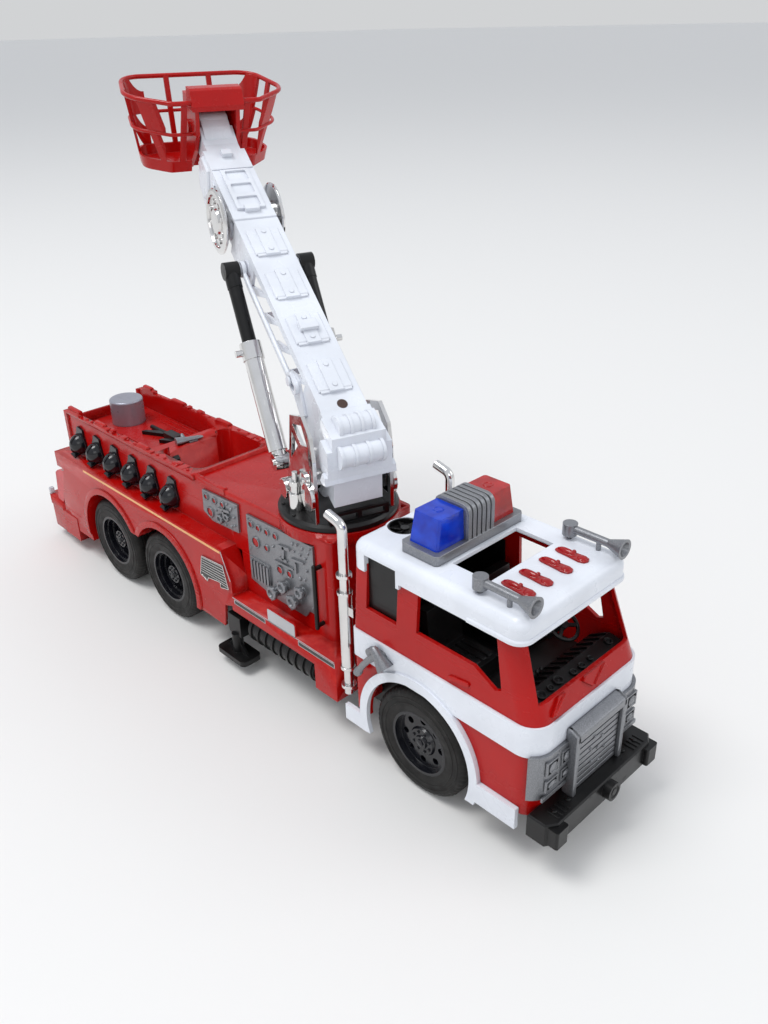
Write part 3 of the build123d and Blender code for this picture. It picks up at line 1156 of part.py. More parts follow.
def ladder_relief():
    """Raised ladder on the upper boom: two rails, windows with borders and two latch blocks."""
    n = BOOM_TOP_N
    t0, t1 = ELBOW_T + LADDER_T[0], ELBOW_T + LADDER_T[1]
    plate = block(-LADDER_HALF_W - 1.2, LADDER_HALF_W + 1.2, t0, t1, n - 0.2, n + 1.8)
    pitch = (t1 - t0) / LADDER_WINDOWS
    for i in range(LADDER_WINDOWS):
        low, high = t0 + pitch * i + 1.6, t0 + pitch * (i + 1) - 1.6
        window = block(-LADDER_HALF_W + 1.4, LADDER_HALF_W - 1.4, low, high, n + 0.4, n + 3.0)
        plate -= fillet(window.edges().filter_by(Axis.Z), 1.4)
    plate += block(-5.0, 5.0, t0 - 2.4, t0 + 2.2, n - 0.2, n + 3.0)
    plate += block(-3.6, 3.6, UPPER_END_T - 8.0, UPPER_END_T - 3.0, n - 0.2, n + 3.2)
    plate += block(-BOOM_HALF_W + 0.6, BOOM_HALF_W - 0.6, t1 + 2.0, t1 + 3.4, n - 0.2, n + 0.7)
    return plate


def upper_boom():
    inner = BOOM_HALF_W - BOOM_WALL
    cheek = side_prism(from_elbow(CHEEK_HIGH), -BOOM_HALF_W, -inner)
    cheek += cross_cylinder(13.2, -BOOM_HALF_W, -inner, ELBOW_T, ELBOW_N)
    bulge = side_prism(from_elbow(BULGE), -BOOM_HALF_W - 1.8, -inner)
    cheek += chamfer(bulge.edges().group_by(Axis.X)[0], 1.2)
    cheek += side_prism(from_elbow(GUSSET), -BOOM_HALF_W - 1.0, -inner)
    arm = both(cheek)
    top = block(-BOOM_HALF_W, BOOM_HALF_W, SEAM_T + SEAM_GAP, UPPER_END_T, BOOM_TOP_N - BOOM_WALL, BOOM_TOP_N)
    arm += chamfer(top.edges().filter_by(Axis.X).group_by(Axis.Y)[0].sort_by(Axis.Z)[-1], 1.2)
    end_t = UPPER_END_T - 6.0
    arm += block(-inner - 0.5, inner + 0.5, end_t, end_t + 2.4, 12.0, BOOM_TOP_N - 1.0)
    arm += side_prism(from_elbow(NECK_BOX), -12.2, 12.2)
    neck = side_prism(from_elbow(NECK_OUTLINE), -NECK_HALF_W, NECK_HALF_W)
    neck += cross_cylinder(NECK_R, -NECK_HALF_W, NECK_HALF_W, NECK_T, NECK_N)
    arm += neck + ladder_relief()
    arm -= cross_cylinder(ELBOW_PIN_R, -40.0, 40.0, ELBOW_T, ELBOW_N)
    arm -= cross_cylinder(BASKET_PIN_R + RUN_GAP, -40.0, 40.0, NECK_T, NECK_N)
    return boom(arm)


def elbow_discs():
    """Bright discs outside the elbow, on its pin."""
    x = ELBOW_DISC_X
    profile = [
        (x, 0.0), (x, ELBOW_DISC_R - 1.0), (x + 0.8, ELBOW_DISC_R), (x + 1.8, ELBOW_DISC_R),
        (x + 2.6, 20.0), (x + 2.6, 17.6), (x + 1.2, 17.0), (x + 1.2, 9.0), (x + 2.8, 8.0), (x + 2.8, 0.0),
    ]
    disc = turned(profile)
    for i in range(8):
        angle = 2 * pi * i / 8
        disc += cross_cylinder(1.9, x + 1.0, x + 2.2, 13.0 * cos(angle), 13.0 * sin(angle))
    disc += cross_cylinder(10.0, BOOM_HALF_W, x, 0.0, 0.0)
    pair = both(disc) + cross_cylinder(ELBOW_PIN_R, -BOOM_HALF_W, BOOM_HALF_W, 0.0, 0.0)
    return boom(Pos(0, ELBOW_T, ELBOW_N) * pair)


# Lift cylinders, drawn upwards from the barrel's pin and then leaned to the boom's peg

PEG_Y, PEG_Z = boom_to_turret(PEG_T, PEG_N)
CYLINDER_LENGTH = hypot(PEG_Y - BARREL_Y, PEG_Z - BARREL_Z)
CYLINDER_LEAN = degrees(atan2(PEG_Z - BARREL_Z, PEG_Y - BARREL_Y))


def lean(shape):
    """Place a shape drawn along +Y from the barrel's pin."""
    return turret(Pos(0, BARREL_Y, BARREL_Z) * Rot(CYLINDER_LEAN, 0, 0) * shape)


def lift_barrel(side):
    x = side * CYLINDER_X
    barrel = lengthwise(BARREL_R, x, 7.0, BARREL_LENGTH, 0.0)
    gland_y = BARREL_LENGTH - GLAND_LENGTH
    barrel += lengthwise(GLAND_R, x, gland_y, BARREL_LENGTH, 0.0)
    barrel += cross_cylinder(2.2, *sorted((x, x + side * (GLAND_R + 4.0))), gland_y + 5.5, 0.0)
    barrel += lengthwise(4.8, x, 0.0, 8.0, 0.0)
    barrel += cross_cylinder(KNUCKLE_R, x - KNUCKLE_HALF_W, x + KNUCKLE_HALF_W, 0.0, 0.0)
    barrel -= lengthwise(ROD_R + RUN_GAP, x, 14.0, BARREL_LENGTH + 1.0, 0.0)
    barrel -= cross_cylinder(KNUCKLE_PIN_R + RUN_GAP, x - 10.0, x + 10.0, 0.0, 0.0)
    return lean(barrel)


def lift_rod(side):
    x = side * CYLINDER_X
    end = CYLINDER_LENGTH
    rod = lengthwise(ROD_R, x, end - ROD_LENGTH, end, 0.0)
    rod += lengthwise(CAP_COLLAR_R, x, end - CAP_COLLAR_LENGTH, end, 0.0)
    rod += cross_cylinder(CAP_R, x - CAP_HALF_W, x + CAP_HALF_W, end, 0.0)
    return lean(rod)


# Basket

# Plan corners at the rim and at the tray's foot, on the right-hand side, with their rounding

RIM_CORNERS = [(31.0, -14.5), (58.0, 9.0), (49.0, 57.0)]
TRAY_CORNERS = [(31.0, 0.0), (47.0, 15.0), (45.0, 39.0)]
CORNER_RADII = (6.0, 22.0, 17.0)
TRAY_RADII = (5.0, 14.0, 12.0)
BACK_POST_X = (-16.0, 16.0)
POST_HALF_W = 1.9


def basket_plan(z, outset=0.0):
    """Plan outline of the basket at height z above its pin."""
    share = (z - BASKET_LOW_Z) / (RIM_Z - BASKET_LOW_Z)
    corners, radii = [], []
    for (x0, y0), (x1, y1), r0, r1 in zip(TRAY_CORNERS, RIM_CORNERS, TRAY_RADII, CORNER_RADII):
        corners.append((x0 + (x1 - x0) * share, y0 + (y1 - y0) * share))
        radii.append(r0 + (r1 - r0) * share)
    points = [(-x, y) for x, y in corners] + [(x, y) for x, y in reversed(corners)]
    plan = make_face(Polyline(*points, close=True))
    for (x, y), radius in zip(corners, radii):
        near = [v for v in plan.vertices() if abs(abs(v.X) - x) < 0.01 and abs(v.Y - y) < 0.01]
        plan = fillet(near, radius)
    if outset:
        plan = offset(plan, amount=outset)
    return Pos(0, 0, z) * plan


def basket_shell(outset, z0, z1):
    """Solid between two heights of the basket, grown by an outset."""
    return loft([basket_plan(z0, outset), basket_plan(z1, outset)])


def hoop(z, radius):
    """Round tube that follows the basket's plan at height z."""
    path = basket_plan(z).faces()[0].outer_wire()
    start = path @ 0
    ring = sweep(Plane(start, z_dir=path % 0) * Circle(radius), path=path)
    return ring


HOOD_OUTLINE = [(-18.5, 14.0), (-19.0, 17.5), (-14.0, 26.5), (-11.5, 27.5), (-5.0, 27.5), (-3.0, 26.0),
                (-3.0, 14.0)]
HOOD_HALF_W = 18.5
NICHE_BACK_Y = 11.0
NICHE_FOOT_Y = 6.0
NICHE_SIDE = [
    (-16.0, -2.0), (-16.0, 20.0), (NICHE_BACK_Y + 2.0, 20.0), (NICHE_BACK_Y + 2.0, BASKET_LOW_Z + 1.0),
    (NICHE_FOOT_Y, BASKET_LOW_Z + 1.0), (-10.0, -14.0),
]


def basket():
    """Pitched basket: tray, posts and corner plates of the shell, with round rim and mid rail."""
    skin = basket_shell(0.0, BASKET_LOW_Z, RIM_Z) - basket_shell(-BASKET_WALL, BASKET_LOW_Z, RIM_Z)
    tray = skin & block(-70.0, 70.0, -40.0, 80.0, BASKET_LOW_Z, TRAY_TOP_Z)
    tray += extrude(basket_plan(BASKET_LOW_Z), amount=2.0)
    frame = None
    for x in BACK_POST_X:
        frame_post = block(x - POST_HALF_W, x + POST_HALF_W, 30.0, 70.0, BASKET_LOW_Z, RIM_Z)
        frame = frame_post if frame is None else frame + frame_post
    for side in (-1, 1):
        x0, x1 = sorted((side * 20.5, side * 24.5))
        frame += block(x0, x1, -30.0, 10.0, BASKET_LOW_Z, RIM_Z)
        x0, x1 = sorted((side * 34.0, side * 70.0))
        frame += block(x0, x1, 26.5, 30.3, BASKET_LOW_Z, RIM_Z)
        frame += block(x0, x1, -4.0, 4.0, MID_RAIL_Z, RIM_Z)
        frame += block(x0, x1, 0.0, 3.4, BASKET_LOW_Z, MID_RAIL_Z)
        frame += block(x0, x1, 42.0, 52.0, MID_RAIL_Z, RIM_Z)
        frame += block(x0, x1, 40.5, 44.0, BASKET_LOW_Z, MID_RAIL_Z)
    posts = skin & frame
    cage = tray + posts + hoop(RIM_Z, RIM_R) + hoop(MID_RAIL_Z, 1.2)
    outer = NICHE_HALF_W + NICHE_WALL
    cage -= block(-outer + 0.4, outer - 0.4, -40.0, NICHE_BACK_Y + 0.4, BASKET_LOW_Z - 4.0, RIM_Z + 4.0)
    cage -= block(-outer, outer, -40.0, NICHE_FOOT_Y, BASKET_LOW_Z - 4.0, TRAY_TOP_Z + 1.0)
    niche = both(side_prism(NICHE_SIDE, -outer, -NICHE_HALF_W))
    niche += block(-outer, outer, NICHE_BACK_Y, NICHE_BACK_Y + 2.0, BASKET_LOW_Z + 1.0, 20.0)
    hood = side_prism(HOOD_OUTLINE, -HOOD_HALF_W, HOOD_HALF_W)
    hood = fillet(hood.edges().filter_by(Axis.Z), 2.0)
    hollow = [(-14.0, 10.0), (-14.0, 16.0), (-5.5, 16.0), (-5.5, 10.0)]
    hood -= side_prism(hollow, -NICHE_HALF_W, NICHE_HALF_W)
    niche += hood
    niche += block(-outer, outer, -5.0, NICHE_BACK_Y + 2.0, 18.0, 20.0)
    niche += cross_cylinder(BASKET_PIN_R, -outer - 1.0, outer + 1.0, 0.0, 0.0)
    niche += both(cross_cylinder(4.6, -outer - 2.0, -outer, 0.0, 0.0))
    neck_y, neck_z = boom_to_turret(NECK_T, NECK_N)
    return turret(Pos(0, neck_y, neck_z) * Rot(BASKET_PITCH, 0, 0) * (cage + niche))


def pieces():
    """Every sub-part by its node name."""
    axles = (("front", FRONT_AXLE_Y), ("middle", MIDDLE_AXLE_Y), ("rear", REAR_AXLE_Y))
    parts = {
        "chassis_frame": chassis(),
        "rear_body": rear_body(),
        "cab_shell": cab_shell(),
        "cab_trim": cab_trim(),
        "cab_roof": cab_roof(),
        "cab_interior": cab_interior(),
        "steering_wheel": steering_wheel(),
        "grille": grille(),
        "grille_guard": grille_guard(),
        "front_bumper": front_bumper(),
        "light_bar_base": light_bar(),
        "light_lens_right": lens_right(),
        "light_lens_left": left(lens_right()),
        "air_horn_right": air_horn_right(),
        "air_horn_left": left(air_horn_right()),
        "marker_lights": marker_lights(),
        "roof_fans": roof_fans(),
        "exhaust_stack_right": exhaust_stack_right(),
        "exhaust_stack_left": left(exhaust_stack_right()),
        "side_nozzle_right": side_nozzle_right(),
        "side_nozzle_left": left(side_nozzle_right()),
        "pump_panels_right": pump_panels_right(),
        "pump_panels_left": left(pump_panels_right()),
        "grab_bar_right": grab_bar_right(),
        "grab_bar_left": left(grab_bar_right()),
        "helmets_right": helmets_right(),
        "helmets_left": left(helmets_right()),
        "bed_drum": bed_drum(),
        "bed_tool": bed_tool(),
        "bed_nozzle": bed_nozzle(),
        "tank_right": tank_right(),
        "tank_left": left(tank_right()),
        "side_louvres": both(side_louvre_right()),
        "tail_lamps": both(tail_lamp_right()),
        "outrigger_right": outrigger_right(),
        "outrigger_left": left(outrigger_right()),
        "turntable_disc": turntable_disc(),
        "turntable_bracket": turntable_bracket(),
        "lower_boom": lower_boom(),
        "levelling_rod": levelling_rod(),
        "elbow_discs": elbow_discs(),
        "upper_boom": upper_boom(),
        "lift_barrel_right": lift_barrel(-1),
        "lift_barrel_left": lift_barrel(1),
        "lift_rod_right": lift_rod(-1),
        "lift_rod_left": lift_rod(1),
        "basket": basket(),
    }
    for name, axle_y in axles:
        rim = front_rim() if name == "front" else rear_rim(axle_y)
        parts[name + "_axle"] = axle_rod(axle_y)
        parts[name + "_rims"] = both(rim)
        parts[name + "_tyre_right"] = tyre(axle_y)
        parts[name + "_tyre_left"] = left(tyre(axle_y))
    return parts


os.makedirs("parts", exist_ok=True)
for node, shape in pieces().items():
    export_step(shape, "parts/" + node + ".step")
print("cylinder length", round(CYLINDER_LENGTH, 2), "lean", round(CYLINDER_LEAN, 2))
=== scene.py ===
import json
import math

import bmesh
import bpy
from mathutils import Matrix, Vector


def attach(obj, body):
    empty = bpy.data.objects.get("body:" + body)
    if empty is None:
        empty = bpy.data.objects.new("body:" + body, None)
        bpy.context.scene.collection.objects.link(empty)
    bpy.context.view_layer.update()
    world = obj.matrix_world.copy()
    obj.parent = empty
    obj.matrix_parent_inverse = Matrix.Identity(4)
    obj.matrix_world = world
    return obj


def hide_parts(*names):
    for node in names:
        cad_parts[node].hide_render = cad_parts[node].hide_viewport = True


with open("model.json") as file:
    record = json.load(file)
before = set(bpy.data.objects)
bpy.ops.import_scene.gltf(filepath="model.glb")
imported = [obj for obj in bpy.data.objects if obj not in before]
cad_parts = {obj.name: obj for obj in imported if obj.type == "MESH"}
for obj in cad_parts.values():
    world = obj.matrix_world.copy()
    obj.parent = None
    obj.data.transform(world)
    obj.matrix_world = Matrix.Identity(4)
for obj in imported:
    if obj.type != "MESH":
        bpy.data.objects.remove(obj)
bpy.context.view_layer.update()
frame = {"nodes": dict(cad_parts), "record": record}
nodes = frame["nodes"]

MM = 0.001
SHARP_ANGLE = math.radians(32)
ROUNDED_ANGLE = math.radians(35)


def placed(name, data):
    """A new object in the scene."""
    obj = bpy.data.objects.new(name, data)
    bpy.context.scene.collection.objects.link(obj)
    return obj


# Camera at the photograph's viewing angle

CAMERA_AT = Vector((-0.3406, -0.4554, 0.4061))
YAW = 0.7616
PITCH = 0.4898
ROLL = -0.0237
FOCAL_PX = 915.3
FRAME_H = 1024
SENSOR_W = 36.0
CLIP = (0.01, 120.0)


def make_camera():
    ahead = Vector((math.sin(YAW) * math.cos(PITCH), math.cos(YAW) * math.cos(PITCH), -math.sin(PITCH)))
    right = Vector((math.cos(YAW), -math.sin(YAW), 0.0))
    up = right.cross(ahead)
    c, s = math.cos(ROLL), math.sin(ROLL)
    rolled_right = right * c + up * s
    rolled_up = up * c - right * s
    data = bpy.data.cameras.new("camera")
    data.sensor_fit = "AUTO"
    data.sensor_width = SENSOR_W
    data.lens = FOCAL_PX * SENSOR_W / FRAME_H
    data.clip_start, data.clip_end = CLIP
    camera = placed("camera", data)
    basis = Matrix((rolled_right, rolled_up, -ahead)).transposed().to_4x4()
    camera.matrix_world = Matrix.Translation(CAMERA_AT) @ basis
    bpy.context.scene.camera = camera


# Stage: a wide pale floor, a pale sky and three soft lamps

LAMPS = [
    # name, place, watts, size
    ("key", (-1.2, 0.6, 3.3), 58.0, 1.4),
    ("fill", (2.2, -2.2, 2.2), 15.0, 1.8),
    ("front", (-2.0, -2.3, 1.5), 8.0, 1.4),
]
LAMPS_AIM = (0, 0, 0.1)
FLOOR_HALF = 60
FLOOR_COLOUR = (0.80, 0.79, 0.77)
FLOOR_ROUGHNESS = 0.6
HORIZON = (0.64, 0.65, 0.66)
ZENITH = (0.70, 0.73, 0.78)
SKY_RISE = (0.02, 0.45)
# Places of a Mix node's colour sockets
MIX_A, MIX_B, MIX_OUT = 6, 7, 2


def make_floor():
    half = FLOOR_HALF
    mesh = bpy.data.meshes.new("floor")
    corners = [(-half, -half, 0), (half, -half, 0), (half, half, 0), (-half, half, 0)]
    mesh.from_pydata(corners, [], [(0, 1, 2, 3)])
    floor = placed("floor", mesh)
    look = Nodes("floor")
    look.shader.inputs["Base Color"].default_value = (*FLOOR_COLOUR, 1)
    look.shader.inputs["Roughness"].default_value = FLOOR_ROUGHNESS
    mesh.materials.append(look.material)


def make_world():
    world = bpy.data.worlds.new("world")
    world.use_nodes = True
    add, link = world.node_tree.nodes.new, world.node_tree.links.new
    height = add("ShaderNodeSeparateXYZ")
    link(add("ShaderNodeTexCoord").outputs["Generated"], height.inputs["Vector"])
    rise = add("ShaderNodeMapRange")
    rise.inputs["From Min"].default_value, rise.inputs["From Max"].default_value = SKY_RISE
    link(height.outputs["Z"], rise.inputs["Value"])
    sky = add("ShaderNodeMix")
    sky.data_type = "RGBA"
    sky.inputs[MIX_A].default_value = (*HORIZON, 1)
    sky.inputs[MIX_B].default_value = (*ZENITH, 1)
    link(rise.outputs["Result"], sky.inputs["Factor"])
    link(sky.outputs[MIX_OUT], world.node_tree.nodes["Background"].inputs["Color"])
    bpy.context.scene.world = world


def make_lamps():
    for name, place, watts, size in LAMPS:
        data = bpy.data.lights.new(name, "AREA")
        data.energy = watts
        data.size = size
        lamp = placed(name, data)
        lamp.location = place
        lamp.rotation_mode = "QUATERNION"
        lamp.rotation_quaternion = (Vector(LAMPS_AIM) - Vector(place)).to_track_quat("-Z", "Y")


# Materials

class Nodes:
    """Short ways to add shader nodes to one material."""

    def __init__(self, name):
        self.material = bpy.data.materials.new(name)
        self.material.use_nodes = True
        self.tree = self.material.node_tree
        self.shader = self.tree.nodes["Principled BSDF"]
        self.coords = self.tree.nodes.new("ShaderNodeTexCoord")

    def add(self, kind, **settings):
        node = self.tree.nodes.new(kind)
        for key, value in settings.items():
            setattr(node, key, value)
        return node

    def link(self, source, target):
        self.tree.links.new(source, target)

    def place(self, stretch):
        mapping = self.add("ShaderNodeMapping")
        mapping.inputs["Scale"].default_value = stretch
        self.link(self.coords.outputs["Object"], mapping.inputs["Vector"])
        return mapping.outputs["Vector"]

    def noise(self, size, detail=3.0, stretch=(1.0, 1.0, 1.0)):
        """Noise with features of about the given size in millimetres."""
        node = self.add("ShaderNodeTexNoise")
        node.inputs["Scale"].default_value = 1000.0 / size
        node.inputs["Detail"].default_value = detail
        self.link(self.place(stretch), node.inputs["Vector"])
        return node.outputs["Fac"]

    def range(self, value, low, high, to_low=0.0, to_high=1.0):
        node = self.add("ShaderNodeMapRange")
        for key, limit in (("From Min", low), ("From Max", high), ("To Min", to_low), ("To Max", to_high)):
            node.inputs[key].default_value = limit
        self.link(value, node.inputs["Value"])
        return node.outputs["Result"]

    def math(self, operation, a, b):
        node = self.add("ShaderNodeMath", operation=operation)
        for socket, value in zip(node.inputs, (a, b)):
            if isinstance(value, float):
                socket.default_value = value
            else:
                self.link(value, socket)
        return node.outputs["Value"]

    def mix(self, factor, a, b):
        node = self.add("ShaderNodeMix", data_type="RGBA")
        self.link(factor, node.inputs["Factor"])
        for socket, value in ((node.inputs[MIX_A], a), (node.inputs[MIX_B], b)):
            if isinstance(value, tuple):
                socket.default_value = (*value, 1.0)
            else:
                self.link(value, socket)
        return node.outputs[MIX_OUT]

    def bump(self, height, strength, depth, normal=None):
        """Bump of the given depth in millimetres."""
        node = self.add("ShaderNodeBump")
        node.inputs["Strength"].default_value = strength
        node.inputs["Distance"].default_value = depth * MM
        self.link(height, node.inputs["Height"])
        if normal is not None:
            self.link(normal, node.inputs["Normal"])
        return node.outputs["Normal"]

    def soft_edge(self, radius):
        """Normal rounded over edges, and a mask of those edges."""
        bevel = self.add("ShaderNodeBevel", samples=4)
        bevel.inputs["Radius"].default_value = radius * MM
        geometry = self.add("ShaderNodeNewGeometry")
        dot = self.add("ShaderNodeVectorMath", operation="DOT_PRODUCT")
        self.link(bevel.outputs["Normal"], dot.inputs[0])
        self.link(geometry.outputs["True Normal"], dot.inputs[1])
        return bevel.outputs["Normal"], self.range(dot.outputs["Value"], 0.99, 0.86)

    def crevice(self, reach):
        """Mask of corners that are shut in within a few millimetres."""
        shade = self.add("ShaderNodeAmbientOcclusion", samples=6)
        shade.inputs["Distance"].default_value = reach * MM
        return self.range(shade.outputs["AO"], 0.75, 0.25)

    def upward(self):
        split = self.add("ShaderNodeSeparateXYZ")
        self.link(self.coords.outputs["Normal"], split.inputs["Vector"])
        return self.range(split.outputs["Z"], 0.55, 1.0)


DUST = (0.42, 0.38, 0.33)
# Painted shade colour for the shut-in corners of chrome
CHROME_CORNER_SHADE = (0.06, 0.06, 0.065)
TYRE_BLACK = (0.0055, 0.0050, 0.0046)
TYRE_GREY = (0.0095, 0.0085, 0.0075)
TYRE_WORN = (0.026, 0.023, 0.020)
TYRE_DIRT = (0.016, 0.013, 0.010)
PLASTIC_IOR = 1.49

# Sizes in millimetres of the marks on moulded plastic
MOTTLE = 34.0
FLAKE = 0.5
RUB = 6.0
DUST_PATCH = 11.0
SCRATCH = 5.0
SMEAR = 17.0
PEEL = 0.9


def scaled(colour, share):
    return tuple(share * c for c in colour)


def plastic(name, colour, deep, worn, roughness, edge=0.35, peel=0.05, dust=0.10, metallic=0.0, coat=0.0,
            flake=0.0, specular=0.5):
    """Moulded plastic: mottled colour, rubbed edges, painted shade in shut-in corners, light dust, fine
    scratches.
    """
    n = Nodes(name)
    normal, edges = n.soft_edge(edge)
    mottle = n.range(n.noise(MOTTLE, 4.0), 0.35, 0.68)
    tone = n.mix(mottle, colour, scaled(colour, 0.86))
    if flake:
        speck = n.range(n.noise(FLAKE, 2.0), 0.40, 0.62)
        tone = n.mix(n.math("MULTIPLY", speck, flake), tone, worn)
    # painted shade: corners shut in by nearby surfaces are darkened towards the deep colour
    tone = n.mix(n.math("MULTIPLY", n.crevice(3.0), 0.6), tone, deep)
    rub = n.math("MULTIPLY", edges, n.range(n.noise(RUB, 3.0), 0.42, 0.70, 0.08, 0.55))
    tone = n.mix(rub, tone, worn)
    lying = n.math("MULTIPLY", n.upward(), n.range(n.noise(DUST_PATCH, 5.0), 0.42, 0.78))
    tone = n.mix(n.math("MULTIPLY", lying, dust), tone, DUST)
    n.link(tone, n.shader.inputs["Base Color"])
    scratch = n.range(n.noise(SCRATCH, 2.0, (1.0, 0.05, 1.0)), 0.655, 0.70)
    rough = n.math("ADD", n.range(n.noise(SMEAR, 4.0), 0.3, 0.7, roughness - 0.05, roughness + 0.07),
                   n.math("MULTIPLY", scratch, 0.12))
    rough = n.math("ADD", rough, n.math("MULTIPLY", lying, 0.18))
    n.link(rough, n.shader.inputs["Roughness"])
    normal = n.bump(n.noise(PEEL, 2.0), peel, 0.25, normal)
    normal = n.bump(scratch, 0.10, -0.05, normal)
    n.link(normal, n.shader.inputs["Normal"])
    n.shader.inputs["Metallic"].default_value = metallic
    n.shader.inputs["Coat Weight"].default_value = coat
    n.shader.inputs["Specular IOR Level"].default_value = specular
    n.shader.inputs["Coat Roughness"].default_value = 0.08
    return n.material


def chrome(name, colour, worn, roughness):
    """Bright plating with a faint ripple, painted shade darkening its corners, and rubbed along edges."""
    n = Nodes(name)
    normal, edges = n.soft_edge(0.3)
    tone = n.mix(n.range(n.noise(22.0, 3.0), 0.35, 0.68), colour, scaled(colour, 0.88))
    # painted shade: corners shut in by nearby surfaces are darkened
    tone = n.mix(n.math("MULTIPLY", n.crevice(4.0), 0.75), tone, CHROME_CORNER_SHADE)
    tone = n.mix(n.math("MULTIPLY", edges, n.range(n.noise(5.0), 0.5, 0.75, 0.0, 0.6)), tone, worn)
    n.link(tone, n.shader.inputs["Base Color"])
    smear = n.range(n.noise(8.0, 5.0), 0.35, 0.75, roughness, roughness + 0.14)
    n.link(smear, n.shader.inputs["Roughness"])
    normal = n.bump(n.noise(7.0, 1.0), 0.22, 0.5, normal)
    normal = n.bump(n.noise(0.7, 2.0), 0.04, 0.2, normal)
    n.link(normal, n.shader.inputs["Normal"])
    n.shader.inputs["Metallic"].default_value = 1.0
    return n.material


def lens(name, colour, deep, clear):
    """Tinted clear plastic with a faintly rippled inside and a painted highlight along its edges."""
    n = Nodes(name)
    normal, edges = n.soft_edge(0.5)
    tone = n.mix(n.range(n.noise(9.0, 2.0), 0.35, 0.7), colour, deep)
    # painted highlight: edges lightened towards a paler tint of the colour
    tone = n.mix(n.math("MULTIPLY", edges, 0.35), tone, tuple(min(1.0, 1.6 * c + 0.03) for c in colour))
    n.link(tone, n.shader.inputs["Base Color"])
    n.link(n.range(n.noise(6.0, 4.0), 0.35, 0.7, 0.04, 0.16), n.shader.inputs["Roughness"])
    normal = n.bump(n.noise(5.0, 2.0), 0.12, 0.4, normal)
    n.link(normal, n.shader.inputs["Normal"])
    n.shader.inputs["Transmission Weight"].default_value = clear
    n.shader.inputs["IOR"].default_value = PLASTIC_IOR
    return n.material


def rubber(name):
    """Soft black tyre plastic, dusty where it rolls."""
    n = Nodes(name)
    normal, edges = n.soft_edge(0.25)
    tone = n.mix(n.range(n.noise(15.0, 4.0), 0.35, 0.7), TYRE_BLACK, TYRE_GREY)
    tone = n.mix(n.math("MULTIPLY", edges, n.range(n.noise(4.0), 0.4, 0.7, 0.1, 0.7)), tone, TYRE_WORN)
    tone = n.mix(n.math("MULTIPLY", n.crevice(2.5), 0.5), tone, TYRE_DIRT)
    n.link(tone, n.shader.inputs["Base Color"])
    n.link(n.range(n.noise(7.0, 5.0), 0.35, 0.7, 0.46, 0.66), n.shader.inputs["Roughness"])
    normal = n.bump(n.noise(0.6, 3.0), 0.16, 0.2, normal)
    n.link(normal, n.shader.inputs["Normal"])
    n.shader.inputs["Specular IOR Level"].default_value = 0.3
    return n.material


RED = (0.43, 0.0030, 0.0022)
# Painted shade: the darker red given to shut-in corners
RED_CORNER_SHADE = (0.15, 0.001, 0.001)
RED_WORN = (0.56, 0.030, 0.020)
# The blue cast of this white is painted skylight reflection
SKY_BLUED_WHITE = (0.78, 0.81, 0.87)

PLASTICS = {
    # colour, painted shade colour in shut-in corners, colour of rubbed edges, roughness, and what differs from
    # the usual
    "red_plastic": (RED, RED_CORNER_SHADE, RED_WORN, 0.22, dict(edge=0.5, dust=0.03, specular=0.32)),
    "white_plastic": (SKY_BLUED_WHITE, (0.46, 0.47, 0.55), (0.86, 0.88, 0.91), 0.28,
                      dict(edge=0.5, peel=0.04, dust=0.05, coat=0.15)),
    "black_plastic": ((0.0050, 0.0048, 0.0050), (0.002, 0.002, 0.002), (0.028, 0.027, 0.028), 0.32,
                      dict(peel=0.10, dust=0.012, specular=0.34)),
    "black_gloss": ((0.0045, 0.0048, 0.0075), (0.002, 0.002, 0.003), (0.022, 0.024, 0.034), 0.16,
                    dict(peel=0.03, dust=0.01)),
    "silver_plastic": ((0.22, 0.225, 0.24), (0.045, 0.045, 0.05), (0.46, 0.47, 0.49), 0.34,
                       dict(peel=0.08, dust=0.05, metallic=0.7, flake=0.35)),
    "drum_plastic": ((0.34, 0.34, 0.40), (0.06, 0.05, 0.08), (0.50, 0.52, 0.56), 0.30,
                     dict(peel=0.06, metallic=0.55, flake=0.25)),
    "marker_red": ((0.36, 0.0020, 0.0030), (0.15, 0.001, 0.001), (0.52, 0.030, 0.030), 0.08,
                   dict(edge=0.4, dust=0.0)),
    "steel": ((0.42, 0.41, 0.40), (0.10, 0.09, 0.08), (0.60, 0.59, 0.57), 0.30,
              dict(edge=0.15, metallic=1.0)),
    "gold_foil": ((0.86, 0.42, 0.15), (0.45, 0.16, 0.06), (0.95, 0.66, 0.40), 0.30,
                  dict(edge=0.05, metallic=0.35, flake=0.3)),
    "pale_sticker": ((0.50, 0.50, 0.52), (0.20, 0.20, 0.21), (0.70, 0.70, 0.72), 0.22,
                     dict(edge=0.05, metallic=0.25, flake=0.2)),
    "dark_sticker": ((0.020, 0.022, 0.018), (0.008, 0.008, 0.008), (0.14, 0.15, 0.13), 0.25,
                     dict(edge=0.05)),
    "screw_well": ((0.060, 0.028, 0.020), (0.02, 0.01, 0.01), (0.12, 0.08, 0.06), 0.45, dict(edge=0.1)),
}
LENSES = {
    # colour, darker colour, how clear it is
    "blue_lens": ((0.001, 0.075, 0.86), (0.001, 0.030, 0.55), 0.40),
    "red_lens": ((0.66, 0.005, 0.003), (0.44, 0.002, 0.002), 0.40),
    "tail_lens": ((0.66, 0.030, 0.040), (0.50, 0.012, 0.018), 0.15),
    "clear_lens": ((0.80, 0.84, 0.88), (0.66, 0.70, 0.76), 0.45),
}

materials = {name: plastic(name, *look, **more) for name, (*look, more) in PLASTICS.items()}
materials.update((name, lens(name, *look)) for name, look in LENSES.items())
materials["chrome_plate"] = chrome("chrome_plate", (0.80, 0.79, 0.78), (0.50, 0.47, 0.43), 0.05)
materials["tyre"] = rubber("tyre")

